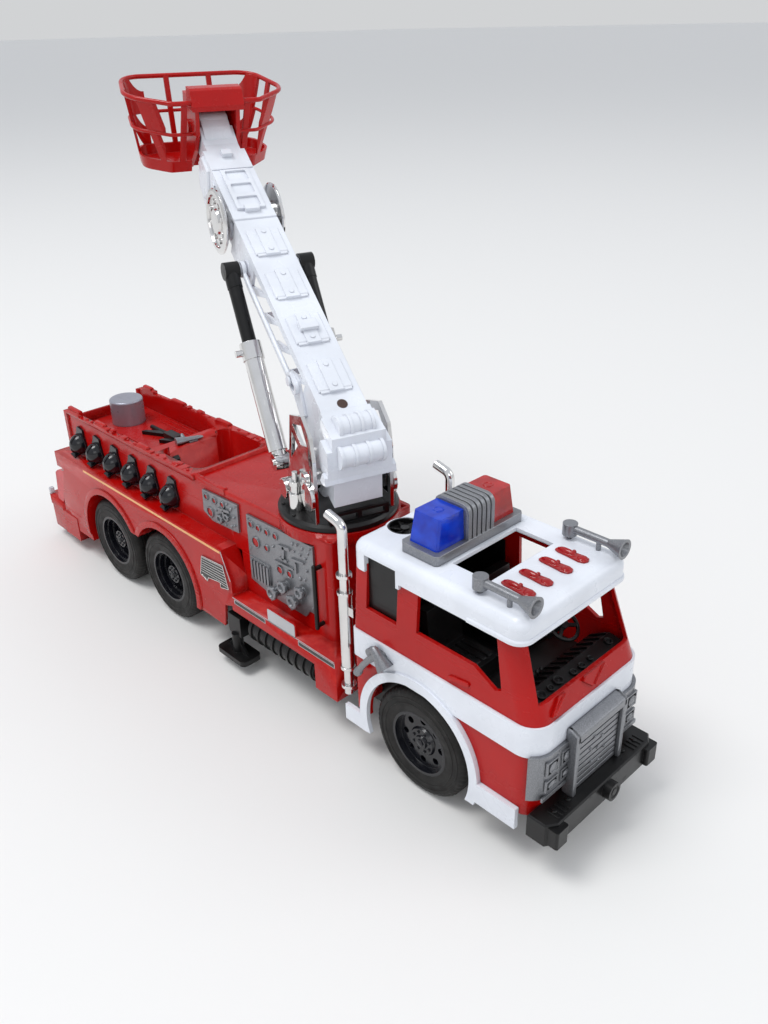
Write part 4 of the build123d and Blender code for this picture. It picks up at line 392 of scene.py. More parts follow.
slot_of = {part["node"]: part["material_slot"] for part in frame["record"]["subparts"]}
FINISH = {"bed_drum": "drum_plastic", "tail_lamps": "tail_lens"}
for node, obj in nodes.items():
    obj.data.materials.clear()
    obj.data.materials.append(materials[FINISH.get(node, slot_of[node])])


# Mesh helpers: sizes are in millimetres, in the frame of the whole toy unless a place is given

TURRET_AT = (0.0, -56.0, 138.0)
TURRET_TURN = -18.0
LIFT_PIVOT = (0.0, -12.9, 23.3)
LIFT_ANGLE = 33.0
TURRET = Matrix.Translation(TURRET_AT) @ Matrix.Rotation(math.radians(TURRET_TURN), 4, "Z")
BOOM = TURRET @ Matrix.Translation(LIFT_PIVOT) @ Matrix.Rotation(math.radians(LIFT_ANGLE), 4, "X")
WHOLE = Matrix.Identity(4)


def span(bm, ends):
    """Closes the solid between two rings of as many points."""
    count = len(ends[0])
    bm.faces.new(ends[0])
    bm.faces.new(ends[1][::-1])
    for i in range(count):
        j = (i + 1) % count
        bm.faces.new((ends[0][i], ends[1][i], ends[1][j], ends[0][j]))


def skin(bm, rings, around):
    """Faces between neighbouring rings; around says whether each ring closes on itself."""
    for a, b in zip(rings, rings[1:]):
        for i in range(len(a) if around else len(a) - 1):
            j = (i + 1) % len(a)
            bm.faces.new((a[i], a[j], b[j], b[i]))


def prism(bm, outline, to_point, low, high):
    """Closed outline carried from low to high: to_point turns (a, b, depth) into a point."""
    span(bm, [[bm.verts.new(to_point(a, b, depth)) for a, b in outline] for depth in (low, high)])


def side_point(y, z, x):
    return Vector((x, y, z))


def plan_point(x, y, z):
    return Vector((x, y, z))


def bar_outline(a0, b0, a1, b1, half):
    """Outline of a straight bar between two points, with its half width."""
    run = Vector((a1 - a0, b1 - b0)).normalized()
    across = Vector((-run.y, run.x)) * half
    return [(a0 + across.x, b0 + across.y), (a1 + across.x, b1 + across.y),
            (a1 - across.x, b1 - across.y), (a0 - across.x, b0 - across.y)]


def block(bm, low, high):
    (x0, y0, z0), (x1, y1, z1) = low, high
    prism(bm, [(x0, y0), (x1, y0), (x1, y1), (x0, y1)], plan_point, z0, z1)


def round_point(radius, i, count):
    """Point number i of count on a circle."""
    angle = 2 * math.pi * i / count
    return radius * math.cos(angle), radius * math.sin(angle)


def arc(a, b, radius, start, turn, steps):
    """Points of an arc round (a, b)."""
    angles = [start + turn * i / steps for i in range(steps + 1)]
    return [(a + radius * math.cos(angle), b + radius * math.sin(angle)) for angle in angles]


def turned(bm, profile, place, sides=24):
    """Revolves (height, radius) points round the local Z axis of a place."""
    rings = []
    for height, radius in profile:
        if radius < 1e-6:
            rings.append([bm.verts.new(place @ Vector((0, 0, height)))])
            continue
        ring = []
        for i in range(sides):
            ring.append(bm.verts.new(place @ Vector((*round_point(radius, i, sides), height))))
        rings.append(ring)
    for a, b in zip(rings, rings[1:]):
        for i in range(sides):
            j = (i + 1) % sides
            corners = [a[i % len(a)], a[j % len(a)], b[j % len(b)], b[i % len(b)]]
            face = list(dict.fromkeys(corners))
            if len(face) > 2:
                bm.faces.new(face)


def facing(x, y, z, direction):
    """A place at a point whose Z axis looks along a direction."""
    turn = Vector(direction).to_track_quat("Z", "Y").to_matrix().to_4x4()
    return Matrix.Translation((x, y, z)) @ turn


def mirrored(bm):
    """Adds the left-hand copy of what is in the mesh."""
    made = bmesh.ops.duplicate(bm, geom=bm.verts[:] + bm.edges[:] + bm.faces[:])["geom"]
    for v in made:
        if isinstance(v, bmesh.types.BMVert):
            v.co.x = -v.co.x


def solid(name, bm, place=WHOLE):
    """Turns a mesh in millimetres into an object in metres."""
    bm.transform(Matrix.Scale(MM, 4) @ place)
    bmesh.ops.recalc_face_normals(bm, faces=bm.faces[:])
    mesh = bpy.data.meshes.new(name)
    bm.to_mesh(mesh)
    bm.free()
    return placed(name, mesh)


def piece(name, bm, body, material, place=WHOLE, bevel=0.0, stands_for=()):
    """Turns a mesh into a piece that rides on a body."""
    obj = solid(name, bm, place)
    mesh = obj.data
    mesh.materials.append(materials[material])
    for face in mesh.polygons:
        face.use_smooth = True
    mesh.set_sharp_from_angle(angle=SHARP_ANGLE)
    if bevel:
        rounding = obj.modifiers.new("rounding", "BEVEL")
        rounding.width = bevel * MM
        rounding.segments = 2
        rounding.limit_method = "ANGLE"
        rounding.angle_limit = ROUNDED_ANGLE
        rounding.harden_normals = True
    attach(obj, body)
    if stands_for:
        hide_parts(*stands_for)


# Wheels

TYRE_R = 35.4
AXLES = {"front": -172.5, "middle": 92.5, "rear": 172.0}
TREAD_GROOVES = (35.4, 38.1, 40.8)
GROOVE_DEPTH = 0.8
INNER_WALL = [(30.4, 21.0), (29.5, 23.0), (29.4, 31.2), (30.5, 33.6), (32.6, TYRE_R)]
OUTER_WALL = [
    # x, radius, with two raised rings
    (45.0, TYRE_R), (46.6, 34.4), (47.8, 32.6), (48.0, 31.0), (48.35, 30.8), (48.35, 30.0), (48.0, 29.8),
    (48.1, 27.4), (48.4, 27.2), (48.4, 26.6), (48.1, 26.4), (48.0, 23.6), (47.7, 22.4), (47.6, 21.0),
]
TREAD_STEPS = 180
SIPE_EVERY = 3
SIPE_DEPTH = 0.7
SHOULDER_R = 33.0
SHOULDER_X = (34.6, 42.6)


def tyre_profile():
    """(x, radius) points across the tyre, from its inner to its outer bead."""
    points = list(INNER_WALL)
    low = TYRE_R - GROOVE_DEPTH
    for x in TREAD_GROOVES:
        points += [(x - 0.5, TYRE_R), (x - 0.35, low), (x + 0.35, low), (x + 0.5, TYRE_R)]
    return points + OUTER_WALL


def tyre(axle, side):
    """Tyre with round grooves and short cuts across its shoulders."""
    sign = -1 if side == "right" else 1
    bm = bmesh.new()
    rings = []
    for step in range(TREAD_STEPS):
        ring = []
        for x, r in tyre_profile():
            shoulder = r > SHOULDER_R and (x < SHOULDER_X[0] or x > SHOULDER_X[1])
            radius = r - SIPE_DEPTH if shoulder and step % SIPE_EVERY == 0 else r
            y, z = round_point(radius, step, TREAD_STEPS)
            ring.append(bm.verts.new((sign * x, AXLES[axle] + y, TYRE_R + z)))
        rings.append(ring)
    skin(bm, rings + rings[:1], True)
    piece(axle + "_tread_" + side, bm, axle + "_wheels", "tyre",
          stands_for=(axle + "_tyre_" + side,))


def nut(bm, x, y, z, radius, height, sign):
    """Six-sided nut with a washer and a rounded top, on a face that looks out."""
    place = facing(x, y, z, (sign, 0, 0))
    washer = radius * 1.35
    turned(bm, [(-0.3, washer), (0.25, washer), (0.25, radius)], place, 16)
    turned(bm, [(0.0, radius), (height * 0.8, radius), (height, radius * 0.7), (height, 0.0)], place, 6)


HUBS = [
    # axle, face x, nut circle radius, nuts, nut radius, cap radius
    ("front", 45.0, 6.5, 8, 0.85, 0.0),
    ("middle", 43.5, 5.2, 8, 0.75, 2.7),
    ("rear", 43.5, 5.2, 8, 0.75, 2.7),
]
NUT_HEIGHT = 0.9
AXLE_NUT_X = 46.2
AXLE_NUT = [(-0.2, 2.6), (0.5, 2.5), (0.8, 1.9), (0.8, 0.0)]


def hubs():
    """Ring of nuts on each rim, round a domed cap or, in front, a six-sided axle nut."""
    for axle, face_x, circle, count, radius, cap in HUBS:
        bm = bmesh.new()
        y0 = AXLES[axle]
        for sign in (-1, 1):
            for i in range(count):
                y, z = round_point(circle, i + 0.5, count)
                nut(bm, sign * face_x, y0 + y, TYRE_R + z, radius, NUT_HEIGHT, sign)
            if cap:
                dome = [(-0.2, cap + 0.5), (0.4, cap + 0.5), (0.6, cap), (1.4, cap * 0.9), (1.9, cap * 0.5),
                        (2.0, 0.0)]
                turned(bm, dome, facing(sign * face_x, y0, TYRE_R, (sign, 0, 0)), 20)
            else:
                turned(bm, AXLE_NUT, facing(sign * AXLE_NUT_X, y0, TYRE_R, (sign, 0, 0)), 6)
        piece(axle + "_wheel_nuts", bm, axle + "_wheels", "black_gloss")


# Cab

CAB_LEAN = 17.0 / 46.0
SIDE_LEAN = 3.0 / 46.0
BELT_Z = 93.0
BELT_FRONT_Y = -254.0
BELT_HALF_W = 47.4


def cab_front(x, z, out):
    """A point on the leaning face under the windscreen, pushed out by a distance."""
    flat = math.hypot(1.0, CAB_LEAN)
    return Vector((x, BELT_FRONT_Y + (z - BELT_Z) * CAB_LEAN - out / flat, z + out * CAB_LEAN / flat))


def cab_side(y, z, out):
    """A point on the leaning right-hand side above the belt, pushed out by a distance."""
    return Vector((-BELT_HALF_W + (z - BELT_Z) * SIDE_LEAN - out, y, z))


WIPER_FORMS = [
    [(-21.0, 103.2), (-26.5, 103.2), (-35.0, 95.8), (-28.4, 94.2)],
    [(14.0, 103.2), (0.8, 95.4), (-6.2, 101.4), (-4.4, 103.2)],
]
WIPER_BLADES = [
    # x, z at both ends
    (-33.6, 96.2, -22.4, 103.0), (1.4, 96.6, 12.6, 103.0),
]


def wipers():
    """Raised shapes under the windscreen, each with a blade along it."""
    bm = bmesh.new()
    for outline in WIPER_FORMS:
        prism(bm, outline, cab_front, -0.6, 1.8)
    for ends in WIPER_BLADES:
        prism(bm, bar_outline(*ends, 0.45), cab_front, 1.5, 2.8)
    piece("wiper_forms", bm, "truck", "red_plastic", bevel=0.35)


def slot_outline(y0, z0, y1, z1, radius, sides=8):
    """Outline with round ends from one centre to another."""
    run = math.atan2(z1 - z0, y1 - y0)
    return (arc(y1, z1, radius, run - math.pi / 2, math.pi, sides)
            + arc(y0, z0, radius, run + math.pi / 2, math.pi, sides))


HANDLE_ENDS = (-208.2, 98.9, -196.4, 97.2)
HANDLE_R = 1.5


def door_handles():
    bm = bmesh.new()
    prism(bm, slot_outline(*HANDLE_ENDS, HANDLE_R), cab_side, -0.5, 1.3)
    mirrored(bm)
    piece("door_handles", bm, "truck", "red_plastic", bevel=0.5)


ROOF_HALF_W = 46.6
ROOF_FRONT_Y = -241.0
ROOF_CORNER_R = 8.0
LIP_REAR_Y = -206.0
LIP_STEPS = 8
LIP_SECTION = [
    # distance out from the roof's edge, z
    (-0.6, 137.7), (0.9, 137.7), (0.9, 139.6), (0.35, 140.4), (-0.6, 140.6),
]


def roof_edge_path(out):
    """Plan line round the roof's front edge, pushed out by a distance."""
    half, front, corner = ROOF_HALF_W + out, ROOF_FRONT_Y - out, ROOF_CORNER_R + out
    bend = arc(-half + corner, front + corner, corner, math.pi, math.pi / 2, LIP_STEPS)
    path = [(-half, LIP_REAR_Y)] + bend
    return path + [(-x, y) for x, y in path[::-1]]


def roof_lip():
    """Stepped moulding along the roof's front edge, above the windscreen."""
    bm = bmesh.new()
    rows = []
    for out, z in LIP_SECTION:
        rows.append([bm.verts.new((x, y, z)) for x, y in roof_edge_path(out)])
    skin(bm, rows + rows[:1], False)
    bm.faces.new([row[0] for row in rows])
    bm.faces.new([row[-1] for row in rows][::-1])
    piece("roof_lip", bm, "truck", "white_plastic", bevel=0.2)


DASH_FRONT_Y = -251.0
DASH_FRONT_Z = 100.5
DASH_RISE, DASH_RUN = 2.5, 13.0
DASH_FACING = (0.0, -0.19, 1.0)
DASH_DIALS = [
    # x, y, radius
    (-31.0, -243.5, 3.0), (-23.0, -243.5, 2.2), (-15.5, -242.5, 3.0), (-4.0, -244.0, 2.2),
    (3.5, -244.0, 2.2), (31.5, -242.0, 2.6), (12.0, -243.5, 1.8),
]
DASH_RIB = [(-237.2, 102.4), (-227.0, 96.0), (-227.0, 97.6), (-237.2, 104.0)]
DASH_VENTS_X = (-28.0, -9.0, 36.0)
DASH_LEVERS_X = (-20.0, -16.5, -13.0)
LEVER = [(-1.0, 0.6), (2.6, 0.6), (3.4, 1.1), (4.6, 0.9), (5.0, 0.0)]


def dashboard():
    """Dials and vents on the dashboard, ribs down its rear slope and three levers."""
    bm = bmesh.new()
    for x, y, radius in DASH_DIALS:
        z = DASH_FRONT_Z + (y - DASH_FRONT_Y) * DASH_RISE / DASH_RUN
        dial = [(-0.4, radius), (1.2, radius), (1.4, radius - 0.3), (1.2, radius - 0.8), (0.5, radius - 0.9),
                (0.5, 0.7), (1.0, 0.5), (1.0, 0.0)]
        turned(bm, dial, facing(x, y, z, DASH_FACING), 20)
    for i in range(13):
        x = -36.0 + 6.0 * i
        prism(bm, DASH_RIB, side_point, x - 0.5, x + 0.5)
    for x in DASH_VENTS_X:
        block(bm, (x - 3.6, -249.6, 100.2), (x + 3.6, -247.6, 102.6))
    for x in DASH_LEVERS_X:
        turned(bm, LEVER, facing(x, -231.5, 98.6, (0, 0.5, 1)), 12)
    piece("dash_fittings", bm, "truck", "black_plastic", bevel=0.15)


SEATS_X = (-22.0, 22.0)
SEAT_Y = (-194.0, -174.5)
SEAT_TOP_Z = 91.6


def seat_ribs():
    """Round-ended ribs along the seat cushions."""
    bm = bmesh.new()
    front, rear = SEAT_Y
    for x in SEATS_X:
        for i in range(5):
            rib = x - 10.0 + 5.0 * i
            prism(bm, slot_outline(front, SEAT_TOP_Z, rear, SEAT_TOP_Z, 1.0), side_point, rib - 1.7, rib + 1.7)
    piece("seat_ribs", bm, "truck", "black_plastic", bevel=0.3)


LINING_X = 43.4
LINING_Y = (-159.0, -123.6)
LINING_Z = (92.0, 148.6)
LINING_T = 0.8
LINING_RIBS = 9
RIBS_MARGIN = 6.0


def cab_lining():
    """Black inner sheet round the rear of the cab, behind its side windows, with low ribs."""
    bm = bmesh.new()
    front, back = LINING_Y
    x, t = LINING_X, LINING_T
    prism(bm, [(-x, front), (-x, back), (x, back), (x, front), (x - t, front), (x - t, back - t),
               (-x + t, back - t), (-x + t, front)], plan_point, *LINING_Z)
    for i in range(LINING_RIBS):
        rib = -x + RIBS_MARGIN + i * (2 * x - 2 * RIBS_MARGIN) / (LINING_RIBS - 1)
        outline = [(rib - 0.7, back - 0.6), (rib + 0.7, back - 0.6), (rib + 0.5, back - 1.5),
                   (rib - 0.5, back - 1.5)]
        prism(bm, outline, plan_point, 94.0, 147.0)
    for sign in (-1, 1):
        for z in (97.0, 144.0):
            prism(bm, [(front + 1.0, z), (back - 1.0, z), (back - 1.0, z + 1.4), (front + 1.0, z + 1.4)],
                  side_point, sign * (x - 1.5), sign * (x + 0.2))
    piece("cab_lining", bm, "truck", "black_plastic")


# Light bar, marker lights and hand nozzles

BAR_HALF_W = 36.8
BAR_Y = (-176.0, -148.0)
BAR_Z = (152.0, 158.0)
CENTRE_HALF_W = 11.2
CENTRE_TOP_Z = 178.6
CENTRE_RIBS = 6
RIB_INSET = 1.7
LENS_TOP_Z = 176.0
LENS_CUT = 1.2
LENS_ENDS = [
    # outer x, front y, rear y and z, at the foot and at the top
    (32.8, -172.4, -151.2, BAR_Z[1] - 0.3), (29.6, -171.6, -152.2, LENS_TOP_Z),
]
LENS_CAP_AT = (20.5, -162.0)


def arch(y0, y1, z0, z1, radius, sides=5):
    """Outline of a block with a flat foot and rounded top corners."""
    front = arc(y0 + radius, z1 - radius, radius, math.pi, -math.pi / 2, sides)
    rear = arc(y1 - radius, z1 - radius, radius, math.pi / 2, -math.pi / 2, sides)
    return [(y0, z0)] + front + rear + [(y1, z0)]


def light_bar():
    """Silver base with a ribbed centre."""
    bm = bmesh.new()
    y0, y1 = BAR_Y
    z0, z1 = BAR_Z
    half = BAR_HALF_W
    prism(bm, [(-half + 2.0, y0), (half - 2.0, y0), (half, y0 + 2.0), (half, y1 - 2.5), (half - 2.5, y1),
               (-half + 2.5, y1), (-half, y1 - 2.5), (-half, y0 + 2.0)], plan_point, z0, z1)
    core = arch(y0 + 1.6, y1 - 3.4, z1 - 1.0, CENTRE_TOP_Z - 0.9, 4.6)
    prism(bm, core, side_point, -CENTRE_HALF_W, CENTRE_HALF_W)
    rib = arch(y0 + 0.5, y1 - 2.3, z1 - 1.0, CENTRE_TOP_Z, 5.2)
    for i in range(CENTRE_RIBS):
        x = -CENTRE_HALF_W + RIB_INSET + i * (2 * CENTRE_HALF_W - 2 * RIB_INSET) / (CENTRE_RIBS - 1)
        prism(bm, rib, side_point, x - 1.45, x + 1.45)
    piece("light_bar", bm, "truck", "silver_plastic", bevel=0.45,
          stands_for=("light_bar_base",))


def light_lens(side, sign, colour):
    """Tapered lens with cut corners and a low round cap."""
    bm = bmesh.new()
    inner = CENTRE_HALF_W - 0.4
    rows = []
    for outer, front, rear, z in LENS_ENDS:
        outline = [(inner, front), (outer - LENS_CUT, front), (outer, front + LENS_CUT),
                   (outer, rear - LENS_CUT), (outer - LENS_CUT, rear), (inner, rear)]
        rows.append([bm.verts.new((sign * x, y, z)) for x, y in outline])
    span(bm, rows)
    x, y = LENS_CAP_AT
    turned(bm, [(-0.4, 3.2), (0.5, 3.0), (0.5, 2.2), (0.1, 2.0), (0.1, 0.0)],
           Matrix.Translation((sign * x, y, LENS_TOP_Z)), 24)
    piece("light_lens_" + side + "_form", bm, "truck", colour, bevel=0.5,
          stands_for=("light_lens_" + side,))


MARKER_AT = (-23.0, -8.5, 8.5, 23.0)
MARKER_PLAN = [
    # x from the middle, y
    (-1.6, -209.4), (1.6, -209.4), (2.5, -212.0), (2.7, -217.0), (3.1, -222.0), (3.5, -226.0),
    (2.4, -229.0), (0.0, -229.9), (-2.4, -229.0), (-3.5, -226.0), (-3.1, -222.0), (-2.7, -217.0),
    (-2.5, -212.0),
]


def markers():
    """Long moulded roof lights: a flat foot, a ridge that ends in a rounded toe, and a knob."""
    bm = bmesh.new()
    top = BAR_Z[0]
    for x in MARKER_AT:
        prism(bm, [(x + dx, y) for dx, y in MARKER_PLAN], plan_point, top - 0.3, top + 1.1)
        place = Matrix.Translation((x, -216.0, top + 0.8)) @ Matrix.Diagonal((0.68, 2.1, 1.0, 1.0))
        turned(bm, [(0.0, 3.0), (1.0, 2.7), (1.9, 1.9), (2.3, 0.9), (2.4, 0.0)], place, 18)
        place = Matrix.Translation((x, -226.2, top + 0.8))
        turned(bm, [(0.0, 3.0), (0.7, 2.7), (1.3, 1.6), (1.5, 0.0)], place, 18)
        place = Matrix.Translation((x + 1.7, -219.6, top + 1.0))
        turned(bm, [(0.0, 1.3), (1.2, 1.2), (1.8, 0.8), (2.0, 0.0)], place, 14)
    piece("marker_forms", bm, "truck", "marker_red", bevel=0.3, stands_for=("marker_lights",))


NOZZLE_X = -52.4
NOZZLE_BELL = [
    # y, z, radius
    (-141.2, 91.4, 1.6), (-142.4, 90.2, 2.6), (-145.4, 87.1, 3.2), (-149.6, 82.8, 4.8), (-151.4, 81.0, 5.3),
    (-151.0, 81.4, 4.3), (-146.6, 85.9, 1.6),
]
NOZZLE_GRIP = [
    # y, z, radius
    (-144.0, 86.4, 1.8), (-140.6, 83.6, 2.3), (-136.4, 79.2, 2.1), (-132.4, 74.0, 2.0), (-129.0, 68.8, 2.1),
    (-128.4, 67.8, 2.8), (-126.8, 65.2, 2.6),
]


def tube(bm, path, x, sides=16):
    """Round tube along (y, z, radius) points in an upright plane."""
    rings = []
    for i, (y, z, radius) in enumerate(path):
        before = Vector(path[max(i - 1, 0)][:2])
        after = Vector(path[min(i + 1, len(path) - 1)][:2])
        run = (after - before).normalized()
        ring = []
        for k in range(sides):
            across, out = round_point(radius, k, sides)
            ring.append(bm.verts.new((x + out, y - run.y * across, z + run.x * across)))
        rings.append(ring)
    skin(bm, rings, True)
    bm.faces.new(rings[0][::-1])
    bm.faces.new(rings[-1])


def nozzles():
    """Hand nozzle on each side of the cab: a bell that looks forward and down, and a curved grip."""
    bm = bmesh.new()
    tube(bm, NOZZLE_BELL, NOZZLE_X)
    tube(bm, NOZZLE_GRIP, NOZZLE_X)
    prism(bm, slot_outline(-146.0, 86.0, -137.6, 85.0, 3.0), side_point, -48.6, NOZZLE_X)
    mirrored(bm)
    piece("hand_nozzles", bm, "truck", "silver_plastic",
          stands_for=("side_nozzle_right", "side_nozzle_left"))


# Bumper, grille and lamps

FRAME_X = (19.8, 23.2)
FRAME_TOP_Z = 82.8
FRAME_Y = (-263.0, -255.4)
FRAME_FOOT_Z = 37.0
FRAME_BAR_Z = 75.4
FRAME_FRONT_TOP_Z = 80.4
FRAME_SLOPE = 2.6
SLAT_COUNT = 9
SLAT_LOW_Z = 41.6
SLAT_STEP = 4.0
STUDS = [
    # x, z
    (-7.0, 62.0), (-3.5, 68.5), (0.0, 58.5), (3.5, 65.2), (6.5, 55.4), (-5.0, 52.2), (2.0, 48.8),
]


def grille_frame():
    """Flat-sided frame that stands on the bumper, with the slatted panel between its legs."""
    bm = bmesh.new()
    inner, outer = FRAME_X
    front, back = FRAME_Y
    top = [(back, FRAME_TOP_Z), (back - FRAME_SLOPE, FRAME_TOP_Z), (front, FRAME_FRONT_TOP_Z)]
    for sign in (-1, 1):
        x0, x1 = sorted((sign * inner, sign * outer))
        prism(bm, [(front, FRAME_FOOT_Z), (back, FRAME_FOOT_Z)] + top, side_point, x0, x1)
    prism(bm, [(front, FRAME_BAR_Z), (back, FRAME_BAR_Z)] + top, side_point, -outer + 0.3, outer - 0.3)
    piece("guard_frame", bm, "truck", "silver_plastic", bevel=0.9,
          stands_for=("grille_guard",))
    bm = bmesh.new()
    block(bm, (-inner - 0.5, -259.6, 39.0), (inner + 0.5, -257.0, 76.0))
    for i in range(SLAT_COUNT):
        z = SLAT_LOW_Z + SLAT_STEP * i
        block(bm, (-inner + 0.6, -260.7, z - 1.5), (inner - 0.6, -259.0, z + 1.5))
    for x, z in STUDS:
        turned(bm, [(-0.5, 1.0), (0.5, 0.9), (0.9, 0.4), (0.9, 0.0)], facing(x, -261.0, z, (0, -1, 0)), 10)
    piece("grille_slats", bm, "truck", "silver_plastic", bevel=0.35)


SIREN_AT = (2.0, -273.3, 33.0)
SIREN = [(-0.6, 5.6), (0.2, 5.4), (0.2, 4.2), (-0.4, 3.8), (-0.4, 2.6), (0.2, 2.2), (0.2, 0.0)]
BUMPER_BOLTS_X = (-38.0, -26.0, 26.0, 38.0)
BUMPER_TOP_Z = 39.6


def bumper_fittings():
    """Rings of the siren, and bolts and grip ribs on top of the bumper."""
    bm = bmesh.new()
    turned(bm, SIREN, facing(*SIREN_AT, (0, -1, 0)), 28)
    for x in BUMPER_BOLTS_X:
        turned(bm, [(-0.5, 1.5), (0.6, 1.5), (0.9, 1.1), (0.9, 0.0)],
               facing(x, -262.0, BUMPER_TOP_Z, (0, 0, 1)), 6)
    for sign in (-1, 1):
        for i in range(4):
            x = sign * (31.0 + 3.2 * i)
            block(bm, (min(x, x + 1.2), -266.5, 39.2), (max(x, x + 1.2), -259.0, 40.1))
    piece("bumper_fittings", bm, "truck", "black_plastic", bevel=0.15)


LAMP_CENTRES = [
    # x, z, half width, half height
    (24.2, 55.7, 3.4, 2.4), (36.5, 55.7, 3.6, 2.4), (24.2, 67.2, 3.4, 3.4), (36.5, 67.2, 3.6, 3.4),
]
LAMP_R = 3.0
LAMP_DOME = [(-0.4, LAMP_R), (0.5, 2.9), (0.6, 2.5), (0.2, 2.3), (0.55, 1.6), (0.75, 0.8), (0.8, 0.0)]
LAMP_FACE_Y = -258.1
CLUSTER_BOLTS = [
    # x, z
    (18.6, 49.0), (18.6, 73.8), (30.3, 49.0), (30.3, 73.8), (30.3, 61.2),
]
CLUSTER_FACE_Y = -257.2


def lamp_relief():
    """Domed lamps with their rims, and bolts at the edges of each cluster."""
    bm = bmesh.new()
    for x, z, half_w, half_h in LAMP_CENTRES:
        stretch = Matrix.Diagonal((half_w / LAMP_R, half_h / LAMP_R, 1.0, 1.0))
        turned(bm, LAMP_DOME, facing(-x, LAMP_FACE_Y, z, (0, -1, 0)) @ stretch, 24)
    for x, z in CLUSTER_BOLTS:
        turned(bm, [(-0.4, 0.8), (0.4, 0.8), (0.7, 0.4), (0.7, 0.0)],
               facing(-x, CLUSTER_FACE_Y, z, (0, -1, 0)), 10)
    mirrored(bm)
    piece("lamp_relief", bm, "truck", "silver_plastic")


# Pump panels

SMALL_PANEL = [(45.5, 122.9), (4.3, 124.9), (5.6, 103.1), (36.3, 101.2), (46.6, 105.8)]
LARGE_PANEL = [(-73.0, 73.4), (-73.0, 123.6), (-5.2, 121.8), (-4.4, 71.4), (-27.0, 67.2), (-62.0, 67.2),
               (-66.4, 73.4)]
GAUGES = [
    # y, z, radius
    (40.9, 118.8, 1.9), (31.1, 119.0, 1.9), (21.6, 119.2, 1.9), (37.6, 107.8, 3.2),
    (-10.0, 116.0, 1.9), (-18.0, 116.0, 1.9), (-27.0, 116.5, 1.9), (-36.0, 117.0, 1.9),
    (-14.0, 104.0, 3.4), (-25.5, 104.0, 1.9), (-38.4, 92.8, 2.5), (-48.4, 93.8, 2.2),
]
OUTLETS = [
    # y, z, radius, length
    (-33.1, 74.5, 4.6, 6.0), (-43.4, 83.1, 4.2, 5.0), (-54.2, 76.8, 4.6, 6.0), (-60.6, 86.2, 3.8, 4.6),
    (24.6, 107.6, 3.0, 2.6), (16.8, 111.4, 2.4, 2.2),
]
KNOBS = [
    # y, z, radius
    (-53.3, 118.4, 1.3), (-58.2, 119.6, 1.0), (-62.8, 118.8, 1.3), (-60.7, 113.2, 1.1), (-66.0, 112.6, 1.0),
    (-68.6, 117.4, 1.2), (-58.9, 95.0, 1.6), (-64.2, 96.4, 1.2), (-54.8, 113.4, 0.9), (-66.6, 104.0, 1.0),
    (-33.0, 108.4, 1.0), (12.0, 119.4, 1.5), (16.0, 121.6, 1.0), (9.0, 114.0, 1.2), (8.6, 107.8, 1.0),
    (12.8, 105.6, 1.2), (29.6, 112.4, 1.1), (19.2, 104.6, 0.9), (-70.8, 78.0, 0.9), (-70.8, 121.4, 0.7),
    (-7.4, 119.6, 0.7), (-7.0, 96.8, 0.7), (43.2, 120.8, 0.7), (6.6, 122.6, 0.7),
]
PANEL_BARS = [
    # y0, z0, y1, z1, radius
    (-39.8, 111.6, -50.0, 113.0, 1.2), (-44.6, 112.0, -43.4, 103.6, 1.1), (-40.2, 102.8, -46.6, 102.8, 1.0),
    (-52.0, 107.0, -64.0, 108.6, 0.8), (-56.0, 98.4, -56.0, 105.0, 0.8), (14.0, 116.6, 26.0, 114.8, 1.0),
    (20.6, 114.8, 20.6, 109.6, 0.9), (-34.4, 98.4, -52.6, 99.4, 0.7),
]
RIB_BLOCK = (-27.4, -6.6, 73.0, 91.0)
RIB_BLOCK_RIBS = 6
PANEL_FACE = 37.7


